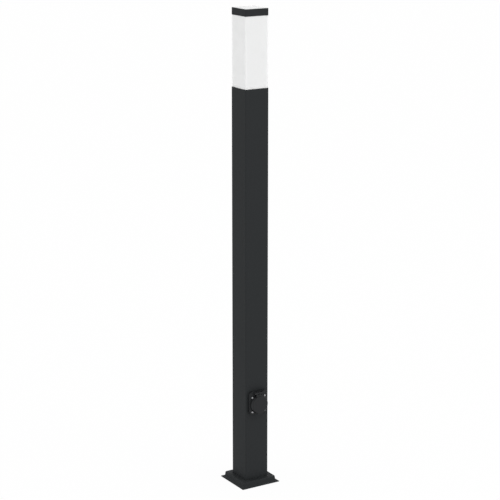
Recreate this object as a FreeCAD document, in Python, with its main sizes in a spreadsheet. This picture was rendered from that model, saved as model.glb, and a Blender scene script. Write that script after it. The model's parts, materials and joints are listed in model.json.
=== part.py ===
"""Square garden bollard light with a lidded earthed socket on one face.

Millimetres, +Z up, origin at the centre of the base on the ground, socket on the -Y face.
The pieces of the socket are drawn in the frame of that face: across it, up it and out of it.
"""
import FreeCAD, Part
import math
import os
import PartDesign
import Sketcher

Vector = FreeCAD.Vector
doc = FreeCAD.newDocument("bollard_light")

SIZES = {
    # Whole object
    "overall_height": 1100.0,
    # Post
    "post_width": 60.0,
    "post_wall": 1.5,
    "post_corner": 2.4,
    "inner_corner": 0.9,
    # Mounting plate
    "plate_width": 82.0,
    "plate_thick": 4.0,
    "plate_corner": 4.0,
    "anchor_spacing": 70.0,
    "anchor_radius": 3.25,
    "cable_hole_radius": 11.0,
    # Cable bushing
    "bushing_bore_radius": 5.0,
    "bushing_rim_radius": 14.0,
    "bushing_rim_thick": 3.0,
    "bushing_lift": 0.5,
    "close_fit": 0.1,
    # Base cover
    "cover_width": 100.0,
    "cover_lip": 1.0,
    "cover_lip_corner": 1.5,
    "cover_rest": 1.5,
    "cover_box": 87.5,
    "cover_box_corner": 4.0,
    "cover_foot": 4.2,
    "cover_top": 86.0,
    "cover_height": 13.3,
    "cover_edge": 1.5,
    "cover_wall": 1.0,
    "cover_gap": 0.4,
    # Lamp head
    "cap_inset": 0.35,
    "cap_height": 16.0,
    "cap_wall": 1.5,
    "cap_corner": 2.2,
    "cap_edge": 0.6,
    "diffuser_inset": 0.8,
    "diffuser_show": 159.0,
    "diffuser_corner": 2.4,
    "diffuser_neck_wall": 2.1,
    "foot_neck": 20.0,
    "foot_neck_gap": 0.2,
    "top_neck": 12.0,
    "seal_groove_depth": 1.0,
    "seal_groove_height": 2.4,
    "seal_groove_rise": 8.0,
    "neck_seal_gap": 0.15,
    # Lamp bracket and stem
    "bracket_drop": 31.0,
    "bracket_thick": 1.5,
    "bracket_depth": 24.0,
    "bracket_leg": 24.0,
    "stem_radius": 5.0,
    "stem_bore_radius": 3.3,
    "stem_below": 13.0,
    "stem_nut_thick": 4.0,
    "stem_nut_radius": 8.0,
    "running_fit": 0.05,
    # Lamp holder
    "holder_drop": 7.0,
    "holder_radius": 19.5,
    "holder_wall": 2.0,
    "holder_hub_radius": 8.0,
    "holder_hub": 7.0,
    "holder_cone": 10.0,
    "holder_rim": 5.0,
    "holder_sleeve": 28.0,
    "contact_base_thick": 6.0,
    "shell_radius": 14.2,
    "shell_thick": 0.6,
    "shell_height": 24.0,
    "centre_contact_radius": 4.0,
    "centre_contact_rise": 1.2,
    "rivet_radius": 1.5,
    # Bulb
    "bulb_thread_radius": 13.1,
    "bulb_thread_depth": 0.7,
    "bulb_thread_pitch": 3.6,
    "bulb_tip": 5.3,
    "bulb_tip_radius": 4.5,
    "bulb_screw": 19.5,
    "bulb_taper": 24.0,
    "bulb_radius": 22.5,
    "bulb_straight": 6.5,
    "bulb_wall": 1.5,
    "board_thick": 1.6,
    # Socket housing
    "socket_height": 197.4,
    "gasket_thick": 1.0,
    "gasket_inset": 0.5,
    "flange_width": 47.0,
    "flange_below": 23.4,
    "flange_above": 30.6,
    "flange_front": 7.0,
    "flange_corner": 7.0,
    "flange_edge": 1.0,
    "collar_radius": 20.8,
    "collar_front": 9.5,
    "cup_radius": 20.4,
    "cutout_gap": 0.3,
    "recess_radius": 19.5,
    "recess_depth": 17.5,
    "floor_thick": 3.0,
    "guide_rise": 1.6,
    "guide_width": 4.0,
    "guide_length": 14.0,
    "pin_pitch": 19.0,
    "slot_gap": 0.3,
    # Socket screws
    "screw_across": 32.6,
    "screw_up": 34.4,
    "screw_radius": 1.45,
    "screw_length": 12.0,
    "screw_head_radius": 2.6,
    "screw_head_height": 2.0,
    "screw_crown_radius": 1.6,
    "screw_cross": 2.8,
    "screw_cross_width": 0.7,
    "screw_cross_depth": 0.9,
    "screw_clearance": 0.15,
    # Hinge
    "hinge_up": 27.4,
    "hinge_out": 12.0,
    "hinge_barrel_radius": 3.2,
    "hinge_pin_radius": 1.2,
    "hinge_ear": 3.2,
    "tongue_width": 18.0,
    "ear_gap": 0.3,
    "window_place": 3.7,
    "window_width": 3.4,
    "window_depth": 3.6,
    "spring_wire": 0.5,
    "spring_radius": 2.5,
    "spring_gap": 0.2,
    # Lid
    "lid_back": 9.7,
    "lid_front": 16.0,
    "lid_rim_radius": 21.6,
    "lid_face_radius": 19.9,
    "lid_edge": 1.2,
    "lid_plate": 1.8,
    "lid_cavity_radius": 18.6,
    "seal_seat_radius": 20.3,
    "seal_seat_depth": 1.8,
    "tongue_back": 10.0,
    "tongue_front": 14.4,
    "lip_width": 14.0,
    "lip_root": 16.0,
    "lip_reach": 23.8,
    "lip_back": 11.5,
    "lip_thick": 2.5,
    "lip_corner": 2.0,
    # Socket contacts
    "carrier_radius": 18.4,
    "carrier_depth": 16.0,
    "sleeve_radius": 3.2,
    "sleeve_bore_radius": 2.42,
    "sleeve_bore_depth": 16.7,
    "sleeve_length": 22.5,
    "wire_hole_radius": 1.2,
    "wire_hole_depth": 5.0,
    "clamp_radius": 1.5,
    "clamp_place": 3.0,
    "clamp_rise": 4.6,
    "earth_reach": 19.1,
    "earth_width": 6.0,
    "earth_thick": 0.8,
    "earth_bow": 1.8,
    "earth_clip_straight": 8.1,
    "earth_clip_bow": 11.1,
    "earth_clip": 14.8,
    "earth_tail_radius": 2.5,
    "carrier_screw_place": 11.0,
    "carrier_screw_bite": 2.1,
    "rear_cover_radius": 20.6,
    "rear_cover_wall": 1.0,
    "rear_cover_depth": 25.3,
    "rear_slot_width": 26.0,
    "rear_slot_height": 6.0,
    # Terminals inside the post
    "terminal_height": 262.0,
    "tray_width": 34.0,
    "tray_below": 22.0,
    "tray_above": 40.0,
    "tray_thick": 1.5,
    "block_width": 30.0,
    "block_height": 20.0,
    "block_depth": 14.0,
    "insert_radius": 2.55,
    "insert_bore_radius": 1.4,
    "insert_length": 16.0,
    "clamp_spread": 10.0,
    "clamp_head_radius": 1.65,
    "clamp_shank_radius": 1.25,
    "block_screw_radius": 1.4,
    "block_head_radius": 2.2,
    "block_head_height": 2.0,
    "stud_rise": 28.0,
    "stud_radius": 2.0,
    "stud_length": 12.0,
    "washer_radius": 4.5,
    "washer_thick": 0.8,
    "nut_radius": 4.0,
    "nut_thick": 3.2,
    # Wiring
    "core_radius": 1.1,
    "core_grip": 5.0,
    "lead_radius": 2.8,
    "core_spacing": 2.6,
    "core_meet": 19.6,
    "core_fan": 28.0,
    "lead_bend_drop": 60.0,
    "lead_bend_run": 65.0,
}


class Length:
    """A size worked out from the sheet: the formula that binds it, and its value in mm."""

    def __init__(self, formula, value):
        self.formula = formula
        self.value = float(value)

    @staticmethod
    def of(number):
        """Any number as a length, so that plain numbers join the formulas."""
        return number if isinstance(number, Length) else Length(f"({float(number)!r})", number)

    def __add__(self, other):
        other = Length.of(other)
        return Length(f"({self.formula} + {other.formula})", self.value + other.value)

    def __sub__(self, other):
        other = Length.of(other)
        return Length(f"({self.formula} - {other.formula})", self.value - other.value)

    def __mul__(self, factor):
        factor = Length.of(factor)
        return Length(f"({self.formula} * {factor.formula})", self.value * factor.value)

    def __truediv__(self, divisor):
        divisor = Length.of(divisor)
        return Length(f"({self.formula} / {divisor.formula})", self.value / divisor.value)

    def __radd__(self, other):
        return Length.of(other) + self

    def __rsub__(self, other):
        return Length.of(other) - self

    def __rmul__(self, other):
        return self * other

    def __neg__(self):
        return Length(f"(-{self.formula})", -self.value)


sheet = doc.addObject("Spreadsheet::Sheet", "sizes")
for row, (alias, size) in enumerate(SIZES.items(), start=1):
    sheet.set(f"A{row}", alias)
    sheet.set(f"B{row}", str(size))
    sheet.setAlias(f"B{row}", alias)
doc.recompute()


class Sheet:
    """The sheet's cells by name, each as a bound length."""

    def __getattr__(self, alias):
        return Length(f"sizes.{alias}", sheet.get(alias))


S = Sheet()

# Heights and widths that several pieces share
post_top = S.overall_height - S.cap_height - S.diffuser_show
post_inside = S.post_width - 2 * S.post_wall
plate_top = S.plate_thick
face_out = S.post_width / 2
foot_neck_width = post_inside - 2 * S.foot_neck_gap
diffuser_width = S.post_width - 2 * S.diffuser_inset
diffuser_inside = foot_neck_width - 2 * S.diffuser_neck_wall
cap_width = S.post_width - 2 * S.cap_inset
cap_inside = cap_width - 2 * S.cap_wall
top_neck_width = cap_inside - 2 * S.close_fit
diffuser_top = post_top + S.diffuser_show

# Lamp stack from the bracket up
bracket_top = post_top - S.bracket_drop
holder_foot = post_top - S.holder_drop
holder_hub_top = holder_foot + S.holder_hub
holder_cap_top = holder_hub_top + S.holder_cone + S.holder_rim
contact_base_foot = holder_hub_top + S.holder_cone + S.holder_wall
contact_base_top = contact_base_foot + S.contact_base_thick
stem_foot = bracket_top - S.stem_below
stem_top = holder_hub_top + S.holder_wall
bulb_foot = contact_base_top + S.centre_contact_rise
bulb_screw_foot = bulb_foot + S.bulb_tip
bulb_screw_top = bulb_screw_foot + S.bulb_screw
bulb_body_top = bulb_screw_top + S.bulb_taper

# Socket depths, out of the post's face
recess_floor = S.collar_front - S.recess_depth
floor_back = recess_floor - S.floor_thick
carrier_back = floor_back - S.carrier_depth
sleeve_back = floor_back - S.sleeve_length
clamp_out = sleeve_back + S.clamp_place
screw_tip = S.flange_front - S.screw_length
flange_height = S.flange_below + S.flange_above
flange_middle = (S.flange_above - S.flange_below) / 2
hinge_span = S.tongue_width / 2 + S.ear_gap + S.hinge_ear

# Terminal block and tray, along +Y inside the post
tray_back = post_inside / 2
tray_front = tray_back - S.tray_thick
block_front = tray_front - S.block_depth
block_foot = S.terminal_height - S.block_height / 2
block_top = S.terminal_height + S.block_height / 2
pole_y = tray_front - S.block_depth / 2
stud_height = S.terminal_height + S.stud_rise
poles = [-S.pin_pitch / 2, Length.of(0), S.pin_pitch / 2]


def slope(run, rise):
    """The angle from upright of a side that runs sideways while it rises, in degrees."""
    ratio = run / rise
    return Length(f"atan({ratio.formula})", math.degrees(math.atan(ratio.value)))


def bind(thing, prop, size):
    """Tie a property to its formula."""
    thing.setExpression(prop, Length.of(size).formula)


def body(name):
    """A new piece, drawn by sketches and features."""
    made = doc.addObject("PartDesign::Body", name)
    made.Label = name
    return made


def place(piece, at, turn=None):
    """Put a finished piece at a bound place, turned if asked."""
    piece.Placement = FreeCAD.Placement(Vector(), turn or FreeCAD.Rotation())
    for axis, size in zip("xyz", at):
        bind(piece, f"Placement.Base.{axis}", size)
    doc.recompute()
    return piece


# Turns a piece's own +Z to point out of the socket's face, along -Y
FACE_TURN = FreeCAD.Rotation(Vector(1, 0, 0), 90)


def on_face(piece):
    """Move a socket piece from its own frame to the face of the post."""
    return place(piece, (0, -face_out, S.socket_height), FACE_TURN)


def sketch(owner, plane, lift=0):
    """A sketch on one of the piece's own planes, lifted along that plane's normal."""
    made = owner.newObject("Sketcher::SketchObject", f"{owner.Name}_sketch")
    support = next(f for f in owner.Origin.OriginFeatures if f.Role == f"{plane}_Plane")
    made.AttachmentSupport = (support, "")
    made.MapMode = "FlatFace"
    bind(made, "AttachmentOffset.Base.z", lift)
    return made


def pin(drawing, item, end, place_xy):
    """Fix one point of a sketch by its bound distances from the origin."""
    for kind, axis_line, size in zip(("DistanceX", "DistanceY"), (-2, -1), place_xy):
        size = Length.of(size)
        if abs(size.value) < 1e-9:
            drawing.addConstraint(Sketcher.Constraint("PointOnObject", item, end, axis_line))
            continue
        ends = (-1, 1, item, end) if size.value > 0 else (item, end, -1, 1)
        mark = drawing.addConstraint(Sketcher.Constraint(kind, *ends, abs(size.value)))
        bind(drawing, f"Constraints[{mark}]", size if size.value > 0 else -size)


def outline(drawing, points):
    """A closed outline of straight lines through bound points."""
    corners = [Vector(Length.of(x).value, Length.of(y).value, 0) for x, y in points]
    first = drawing.GeometryCount
    for here, there in zip(corners, corners[1:] + corners[:1]):
        drawing.addGeometry(Part.LineSegment(here, there), False)
    for number, point in enumerate(points):
        after = (number + 1) % len(points)
        drawing.addConstraint(Sketcher.Constraint("Coincident", first + number, 2, first + after, 1))
    for number, point in enumerate(points):
        pin(drawing, first + number, 1, point)


def rectangle(drawing, wide, high, middle=(0, 0)):
    """A square-cornered rectangle round a point."""
    x, y = middle
    corners = [(-1, -1), (1, -1), (1, 1), (-1, 1)]
    outline(drawing, [(x + Length.of(wide) * sx / 2, y + Length.of(high) * sy / 2) for sx, sy in corners])


def disc(drawing, radius, middle=(0, 0)):
    """A circle round a point."""
    x, y = (Length.of(size) for size in middle)
    radius = Length.of(radius)
    round_edge = Part.Circle(Vector(x.value, y.value, 0), Vector(0, 0, 1), radius.value)
    made = drawing.addGeometry(round_edge, False)
    pin(drawing, made, 3, middle)
    mark = drawing.addConstraint(Sketcher.Constraint("Radius", made, radius.value))
    bind(drawing, f"Constraints[{mark}]", radius)


def rounded(drawing, wide, high, radius, middle=(0, 0)):
    """A rectangle with round corners: four arcs and the lines that touch them."""
    radius = Length.of(radius)
    x, y = middle
    reach_x = Length.of(wide) / 2 - radius
    reach_y = Length.of(high) / 2 - radius
    first = drawing.GeometryCount
    quarter = math.pi / 2
    signs = [(1, 1), (-1, 1), (-1, -1), (1, -1)]
    centres = [(x + reach_x * sx, y + reach_y * sy) for sx, sy in signs]
    arcs = []
    for number, (cx, cy) in enumerate(centres):
        centre = Vector(cx.value, cy.value, 0)
        round_edge = Part.Circle(centre, Vector(0, 0, 1), radius.value)
        arcs.append(Part.ArcOfCircle(round_edge, number * quarter, (number + 1) * quarter))
        drawing.addGeometry(arcs[-1], False)
    for number, arc in enumerate(arcs):
        following = arcs[(number + 1) % 4]
        drawing.addGeometry(Part.LineSegment(arc.EndPoint, following.StartPoint), False)
    for number, centre in enumerate(centres):
        arc, line, following = first + number, first + 4 + number, first + (number + 1) % 4
        drawing.addConstraint(Sketcher.Constraint("Tangent", arc, 2, line, 1))
        drawing.addConstraint(Sketcher.Constraint("Tangent", line, 2, following, 1))
    for number, centre in enumerate(centres):
        pin(drawing, first + number, 3, centre)
        mark = drawing.addConstraint(Sketcher.Constraint("Radius", first + number, radius.value))
        bind(drawing, f"Constraints[{mark}]", radius)


def tip_shape(owner):
    """The piece's shape after its last feature, in its own frame."""
    return owner.Tip.Shape


def feature(owner, kind, drawing, **sizes):
    """One feature on a sketch, with its sizes bound."""
    made = owner.newObject(f"PartDesign::{kind}", f"{owner.Name}_{kind.lower()}")
    made.Profile = drawing
    for prop, size in sizes.items():
        bind(made, prop, size)
    return made


def pad(owner, drawing, length, lean=0):
    """Raise a sketch along its normal, its sides leaning out by an angle."""
    feature(owner, "Pad", drawing, Length=length, TaperAngle=lean)
    doc.recompute()


def pocket(owner, drawing, length, forward=False, lean=0):
    """Cut a sketch away, backwards from its normal or forwards along it."""
    before = tip_shape(owner).Volume
    made = feature(owner, "Pocket", drawing, Length=length, TaperAngle=lean)
    made.Reversed = forward
    doc.recompute()
    if tip_shape(owner).Volume > before - 1e-3:
        raise ValueError(f"a pocket of {owner.Label} cuts nothing")


def revolve(owner, drawing):
    """Turn a sketch once round the piece's own Z axis."""
    made = feature(owner, "Revolution", drawing)
    made.ReferenceAxis = (drawing, ["V_Axis"])
    made.Angle = 360
    doc.recompute()


def loft(owner, kind, levels):
    """Straight faces between round-cornered squares, each given by its level, width and corner."""
    drawings = []
    for level, width, corner in levels:
        drawings.append(sketch(owner, "XY", level))
        rounded(drawings[-1], width, width, corner)
    made = feature(owner, kind, drawings[0])
    made.Sections = drawings[1:]
    made.Ruled = True
    doc.recompute()


def fillet(owner, radius, wanted):
    """Round the edges of the piece that a test picks."""
    base = owner.Tip
    names = [f"Edge{n}" for n, edge in enumerate(base.Shape.Edges, start=1) if wanted(edge)]
    made = owner.newObject("PartDesign::Fillet", f"{owner.Name}_fillet")
    made.Base = (base, names)
    bind(made, "Radius", radius)
    doc.recompute()


def at_level(height):
    """A test for edges that lie flat at one height of the piece's own frame."""
    height = Length.of(height).value
    return lambda edge: abs(edge.BoundBox.ZMin - height) < 1e-4 and edge.BoundBox.ZLength < 1e-4


def turned(name, profile, at=None, turn=None):
    """A round piece from a profile of (radius, height) points."""
    made = body(name)
    half = sketch(made, "XZ")
    outline(half, profile)
    revolve(made, half)
    if at is not None:
        place(made, at, turn)
    return made


def plate(name, draw, foot, thick):
    """A flat piece: what draw() puts on a level sketch, raised by its thickness."""
    made = body(name)
    flat = sketch(made, "XY", foot)
    draw(flat)
    pad(made, flat, thick)
    return made


def together(name, pieces):
    """Separate solids of one kind kept as one group."""
    made = doc.addObject("Part::Compound", name)
    made.Label = name
    made.Links = pieces
    doc.recompute()
    return made


def four(across, up):
    """The four corners of a rectangle of fixings, as (across, up) places."""
    return [(across * sx / 2, up * sy / 2) for sx, sy in ((1, 1), (-1, 1), (-1, -1), (1, -1))]


socket_screw_places = four(S.screw_across, S.screw_up)


# The share of the shorter run beside a corner that its arc takes
ARC_SHARE = 0.45


def tube_along(name, points, radius):
    """A wire or lead along straight runs joined by tangent arcs."""
    route = [Vector(*(Length.of(size).value for size in point)) for point in points]
    radius = Length.of(radius).value
    edges = []
    start = route[0]
    tightest = None
    for before, corner, after in zip(route, route[1:], route[2:]):
        inward = (corner - before).normalize()
        onward = (after - corner).normalize()
        reach = ARC_SHARE * min((corner - before).Length, (after - corner).Length)
        half_turn = inward.getAngle(onward) / 2
        bend = reach / math.tan(half_turn)
        tightest = bend if tightest is None else min(tightest, bend)
        arc_start = corner - inward * reach
        arc_end = corner + onward * reach
        to_centre = (onward - inward).normalize()
        middle = corner + to_centre * (bend / math.cos(half_turn) - bend)
        edges.append(Part.LineSegment(start, arc_start).toShape())
        edges.append(Part.Arc(arc_start, middle, arc_end).toShape())
        start = arc_end
    edges.append(Part.LineSegment(start, route[-1]).toShape())
    path = Part.Wire(edges)
    section = Part.Wire([Part.Circle(route[0], route[1] - route[0], radius).toShape()])
    solid = Part.Wire(edges).makePipeShell([section], True, False)
    ideal = math.pi * radius ** 2 * path.Length
    print(f"{name}: {path.Length:.1f} mm, tightest bend {tightest or 0:.1f} mm, "
          f"volume {solid.Volume / ideal:.4f} of section times length")
    return solid


def shaped(name, solid):
    """A piece whose shape is set directly."""
    made = doc.addObject("Part::Feature", name)
    made.Label = name
    made.Shape = solid
    return made


# Post, plate and base


def post_tube():
    """Square tube from the plate to the lamp head, with the socket's cut-out in its -Y wall."""
    made = body("post_tube")
    section = sketch(made, "XY", plate_top)
    rounded(section, S.post_width, S.post_width, S.post_corner)
    rounded(section, post_inside, post_inside, S.inner_corner)
    pad(made, section, post_top - plate_top)
    openings = sketch(made, "XZ")
    disc(openings, S.cup_radius + S.cutout_gap, (0, S.socket_height))
    for across, up in socket_screw_places:
        disc(openings, S.screw_radius + S.running_fit, (across, S.socket_height + up))
    pocket(made, openings, S.post_width, forward=True)
    return made


def mounting_plate():
    """Flat plate welded under the post, with four anchor holes and the cable hole."""
    made = plate("mounting_plate", lambda flat: (
        rounded(flat, S.plate_width, S.plate_width, S.plate_corner),
        disc(flat, S.cable_hole_radius),
        [disc(flat, S.anchor_radius, place_xy) for place_xy in four(S.anchor_spacing, S.anchor_spacing)],
    ), 0, S.plate_thick)
    return made


def cable_bushing():
    """Rubber bushing in the plate's cable hole, its rim on top of the plate."""
    shank = S.cable_hole_radius - S.close_fit
    return turned("cable_bushing", [
        (S.bushing_bore_radius, S.bushing_lift),
        (shank, S.bushing_lift),
        (shank, plate_top),
        (S.bushing_rim_radius, plate_top),
        (S.bushing_rim_radius, plate_top + S.bushing_rim_thick / 2),
        (S.bushing_rim_radius - S.bushing_rim_thick / 2, plate_top + S.bushing_rim_thick),
        (S.bushing_bore_radius, plate_top + S.bushing_rim_thick),
    ])


def base_cover():
    """Pressed cover: thin lip, sloping skirt, raised box and a flat top that the post passes."""
    made = body("base_cover")
    lean = -slope((S.cover_box - S.cover_top) / 2, S.cover_height - S.cover_foot)
    lip = sketch(made, "XY")
    rounded(lip, S.cover_width, S.cover_width, S.cover_lip_corner)
    pad(made, lip, S.cover_lip)
    loft(made, "AdditiveLoft", [
        (S.cover_lip, S.cover_width, S.cover_lip_corner),
        (S.cover_foot, S.cover_box, S.cover_box_corner),
    ])
    box = sketch(made, "XY", S.cover_foot)
    rounded(box, S.cover_box, S.cover_box, S.cover_box_corner)
    pad(made, box, S.cover_height - S.cover_foot, lean)
    fillet(made, S.cover_edge, at_level(S.cover_height))
    inner_foot = S.cover_foot - S.cover_wall
    inner_box = S.cover_box - 2 * S.cover_wall
    inner_corner = S.cover_box_corner - S.cover_wall
    loft(made, "SubtractiveLoft", [
        (Length.of(0), S.cover_width - 2 * S.cover_rest, S.cover_lip_corner),
        (inner_foot, inner_box, inner_corner),
    ])
    hollow = sketch(made, "XY", inner_foot)
    rounded(hollow, inner_box, inner_box, inner_corner)
    pocket(made, hollow, S.cover_height - S.cover_foot, forward=True, lean=lean)
    opening = sketch(made, "XY", S.cover_height)
    hole = S.post_width + 2 * S.cover_gap
    rounded(opening, hole, hole, S.post_corner + S.cover_gap)
    pocket(made, opening, S.cover_height)
    return made


# Lamp head, which lifts off as one


def diffuser():
    """Opal square tube with a reduced neck in the post and another in the cap."""
    made = body("diffuser")
    stages = [
        (post_top - S.foot_neck, S.foot_neck, foot_neck_width, S.inner_corner),
        (post_top, S.diffuser_show, diffuser_width, S.diffuser_corner),
        (diffuser_top, S.top_neck, top_neck_width, S.inner_corner),
    ]
    for foot, rise, width, corner in stages:
        section = sketch(made, "XY", foot)
        rounded(section, width, width, corner)
        pad(made, section, rise)
    bore = sketch(made, "XY", diffuser_top + S.top_neck)
    rounded(bore, diffuser_inside, diffuser_inside, S.inner_corner)
    pocket(made, bore, S.foot_neck + S.diffuser_show + S.top_neck)
    groove = sketch(made, "XY", post_top - S.seal_groove_rise)
    groove_width = foot_neck_width - 2 * S.seal_groove_depth
    rectangle(groove, S.post_width, S.post_width)
    rounded(groove, groove_width, groove_width, S.inner_corner)
    pocket(made, groove, S.seal_groove_height)
    return made


def neck_seal():
    """Square rubber ring in the groove of the diffuser's lower neck."""
    outer = post_inside - 2 * S.neck_seal_gap
    inner = foot_neck_width - 2 * S.seal_groove_depth
    return plate("neck_seal", lambda flat: (
        rounded(flat, outer, outer, S.inner_corner),
        rounded(flat, inner, inner, S.inner_corner),
    ), post_top - S.seal_groove_rise - S.seal_groove_height, S.seal_groove_height)


def top_cap():
    """Shallow square cap, open below, its rim on the diffuser's upper shoulder."""
    made = body("top_cap")
    block = sketch(made, "XY", diffuser_top)
    rounded(block, cap_width, cap_width, S.cap_corner)
    pad(made, block, S.cap_height)
    fillet(made, S.cap_edge, at_level(S.overall_height))
    hollow = sketch(made, "XY", diffuser_top)
    rounded(hollow, cap_inside, cap_inside, S.inner_corner)
    pocket(made, hollow, S.cap_height - S.cap_wall, forward=True)
    return made


def cap_seal():
    """Foam ring between the diffuser's upper end and the cap."""
    foot = diffuser_top + S.top_neck
    return plate("cap_seal", lambda flat: (
        rounded(flat, top_neck_width, top_neck_width, S.inner_corner),
        rounded(flat, diffuser_inside, diffuser_inside, S.inner_corner),
    ), foot, S.overall_height - S.cap_wall - foot)


# Lamp bracket, holder and bulb


def lamp_bracket():
    """Steel bridge across the post, its two legs flat on the side walls."""
    made = body("lamp_bracket")
    half = post_inside / 2
    under = bracket_top - S.bracket_thick
    foot = bracket_top - S.bracket_leg
    section = sketch(made, "XZ", -S.bracket_depth / 2)
    outline(section, [
        (-half, foot),
        (-half + S.bracket_thick, foot),
        (-half + S.bracket_thick, under),
        (half - S.bracket_thick, under),
        (half - S.bracket_thick, foot),
        (half, foot),
        (half, bracket_top),
        (-half, bracket_top),
    ])
    pad(made, section, S.bracket_depth)
    hole = sketch(made, "XY", bracket_top)
    disc(hole, S.stem_radius + S.running_fit)
    pocket(made, hole, S.bracket_thick)
    return made


def holder_stem():
    """Threaded pipe that carries the lamp holder and passes the lead."""
    return plate("holder_stem", lambda flat: (
        disc(flat, S.stem_radius),
        disc(flat, S.stem_bore_radius),
    ), stem_foot, stem_top - stem_foot)


def hexagon(drawing, radius, middle=(0, 0)):
    """A nut's six-sided outline, by its corner radius."""
    x, y = middle
    corners = [(math.cos(k * math.pi / 3), math.sin(k * math.pi / 3)) for k in range(6)]
    outline(drawing, [(x + radius * round(cx, 9), y + radius * round(cy, 9)) for cx, cy in corners])


def stem_nuts():
    """Two thin nuts that clamp the stem to the bracket, one below and one above."""
    feet = [bracket_top - S.bracket_thick - S.stem_nut_thick, bracket_top]
    nuts = [plate(f"stem_nut_{number}", lambda flat: (
        hexagon(flat, S.stem_nut_radius),
        disc(flat, S.stem_radius + S.running_fit),
    ), foot, S.stem_nut_thick) for number, foot in enumerate(feet, start=1)]
    return together("stem_nuts", nuts)


def holder_cap():
    """Lower half of the lamp holder: hub on the stem, cone and rim."""
    bore = S.stem_radius + S.running_fit
    cone_top = holder_hub_top + S.holder_cone
    return turned("holder_cap", [
        (bore, holder_foot),
        (S.holder_hub_radius, holder_foot),
        (S.holder_hub_radius, holder_hub_top),
        (S.holder_radius, cone_top),
        (S.holder_radius, holder_cap_top),
        (S.holder_radius - S.holder_wall, holder_cap_top),
        (S.holder_radius - S.holder_wall, cone_top + S.holder_wall),
        (S.holder_hub_radius, holder_hub_top + S.holder_wall),
        (bore, holder_hub_top + S.holder_wall),
    ])


def contact_base():
    """Ceramic disc that closes the holder below the bulb."""
    return plate("contact_base", lambda flat: (
        disc(flat, S.holder_radius - S.holder_wall - S.close_fit),
        disc(flat, S.rivet_radius + S.running_fit),
    ), contact_base_foot, S.contact_base_thick)


def centre_contact():
    """Brass contact riveted through the contact base, under the bulb's tip."""
    return turned("centre_contact", [
        (0, contact_base_foot),
        (S.rivet_radius, contact_base_foot),
        (S.rivet_radius, contact_base_top),
        (S.centre_contact_radius, contact_base_top),
        (S.centre_contact_radius, contact_base_top + S.centre_contact_rise),
        (0, contact_base_top + S.centre_contact_rise),
    ])


def holder_sleeve():
    """Upper half of the lamp holder: it holds the contact base down round the screw shell."""
    seat = S.holder_radius - S.holder_wall
    throat = S.shell_radius + S.close_fit
    top = holder_cap_top + S.holder_sleeve
    return turned("holder_sleeve", [
        (seat, holder_cap_top),
        (S.holder_radius, holder_cap_top),
        (S.holder_radius, top - S.holder_wall),
        (S.holder_radius - S.holder_wall / 2, top),
        (throat, top),
        (throat, contact_base_top),
        (seat, contact_base_top),
    ])


def screw_shell():
    """Brass shell that the bulb screws into."""
    return plate("screw_shell", lambda flat: (
        disc(flat, S.shell_radius),
        disc(flat, S.shell_radius - S.shell_thick),
    ), contact_base_top, S.shell_height)


def bulb_cap():
    """Screw cap of the bulb, with its tip contact and rolled thread."""
    crest = S.bulb_thread_radius
    trough = S.bulb_thread_radius - S.bulb_thread_depth
    turns = int(round(SIZES["bulb_screw"] / SIZES["bulb_thread_pitch"])) - 1
    profile = [
        (0, bulb_foot),
        (S.bulb_tip_radius, bulb_foot),
        (S.bulb_tip_radius, bulb_foot + S.bulb_tip / 4),
        (trough, bulb_screw_foot),
    ]
    for number in range(turns):
        foot = bulb_screw_foot + S.bulb_thread_pitch * number
        profile.append((crest, foot + S.bulb_thread_pitch / 2))
        profile.append((trough, foot + S.bulb_thread_pitch))
    profile.append((trough, bulb_screw_top))
    profile.append((0, bulb_screw_top))
    return turned("bulb_cap", profile)


def bulb_body():
    """Plastic body of the bulb between its cap and its globe, hollow for the driver."""
    throat = S.bulb_thread_radius
    rim = S.bulb_radius - S.bulb_wall / 2
    return turned("bulb_body", [
        (0, bulb_screw_top),
        (throat, bulb_screw_top),
        (throat, bulb_screw_top + S.bulb_wall),
        (rim, bulb_body_top),
        (rim - S.bulb_wall, bulb_body_top),
        (throat - S.bulb_wall, bulb_screw_top + 2 * S.bulb_wall),
        (0, bulb_screw_top + 2 * S.bulb_wall),
    ])


def light_board():
    """Round board with the light sources, just inside the body's rim."""
    radius = S.bulb_radius - 3 * S.bulb_wall
    foot = bulb_body_top - 2 * S.board_thick
    return plate("light_board", lambda flat: disc(flat, radius), foot, S.board_thick)


def bulb_globe():
    """Opal globe: a short straight wall and a half sphere, hollow."""
    parts = {}
    for name, radius in (("outer", S.bulb_radius), ("inner", S.bulb_radius - S.bulb_wall)):
        wall = doc.addObject("Part::Cylinder", f"globe_{name}_wall")
        bind(wall, "Radius", radius)
        bind(wall, "Height", S.bulb_straight)
        bind(wall, "Placement.Base.z", bulb_body_top)
        dome = doc.addObject("Part::Sphere", f"globe_{name}_dome")
        dome.Angle1 = 0
        dome.Angle2 = 90
        bind(dome, "Radius", radius)
        bind(dome, "Placement.Base.z", bulb_body_top + S.bulb_straight)
        parts[name] = doc.addObject("Part::MultiFuse", f"globe_{name}")
        parts[name].Shapes = [wall, dome]
    made = doc.addObject("Part::Cut", "bulb_globe")
    made.Label = "bulb_globe"
    made.Base = parts["outer"]
    made.Tool = parts["inner"]
    doc.recompute()
    return made


# Socket, drawn across, up and out of the face


def flange_outline(flat, inset=0):
    """The flange's outline: taller above the socket's centre, for the hinge."""
    corner = S.flange_corner - inset
    rounded(flat, S.flange_width - 2 * inset, flange_height - 2 * inset, corner, (0, flange_middle))


def socket_gasket():
    """Soft sheet between the flange and the post."""
    return on_face(plate("socket_gasket", lambda flat: (
        flange_outline(flat, S.gasket_inset),
        disc(flat, S.cup_radius + S.cutout_gap),
        [disc(flat, S.screw_radius + S.screw_clearance, place_xy) for place_xy in socket_screw_places],
    ), 0, S.gasket_thick))


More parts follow.
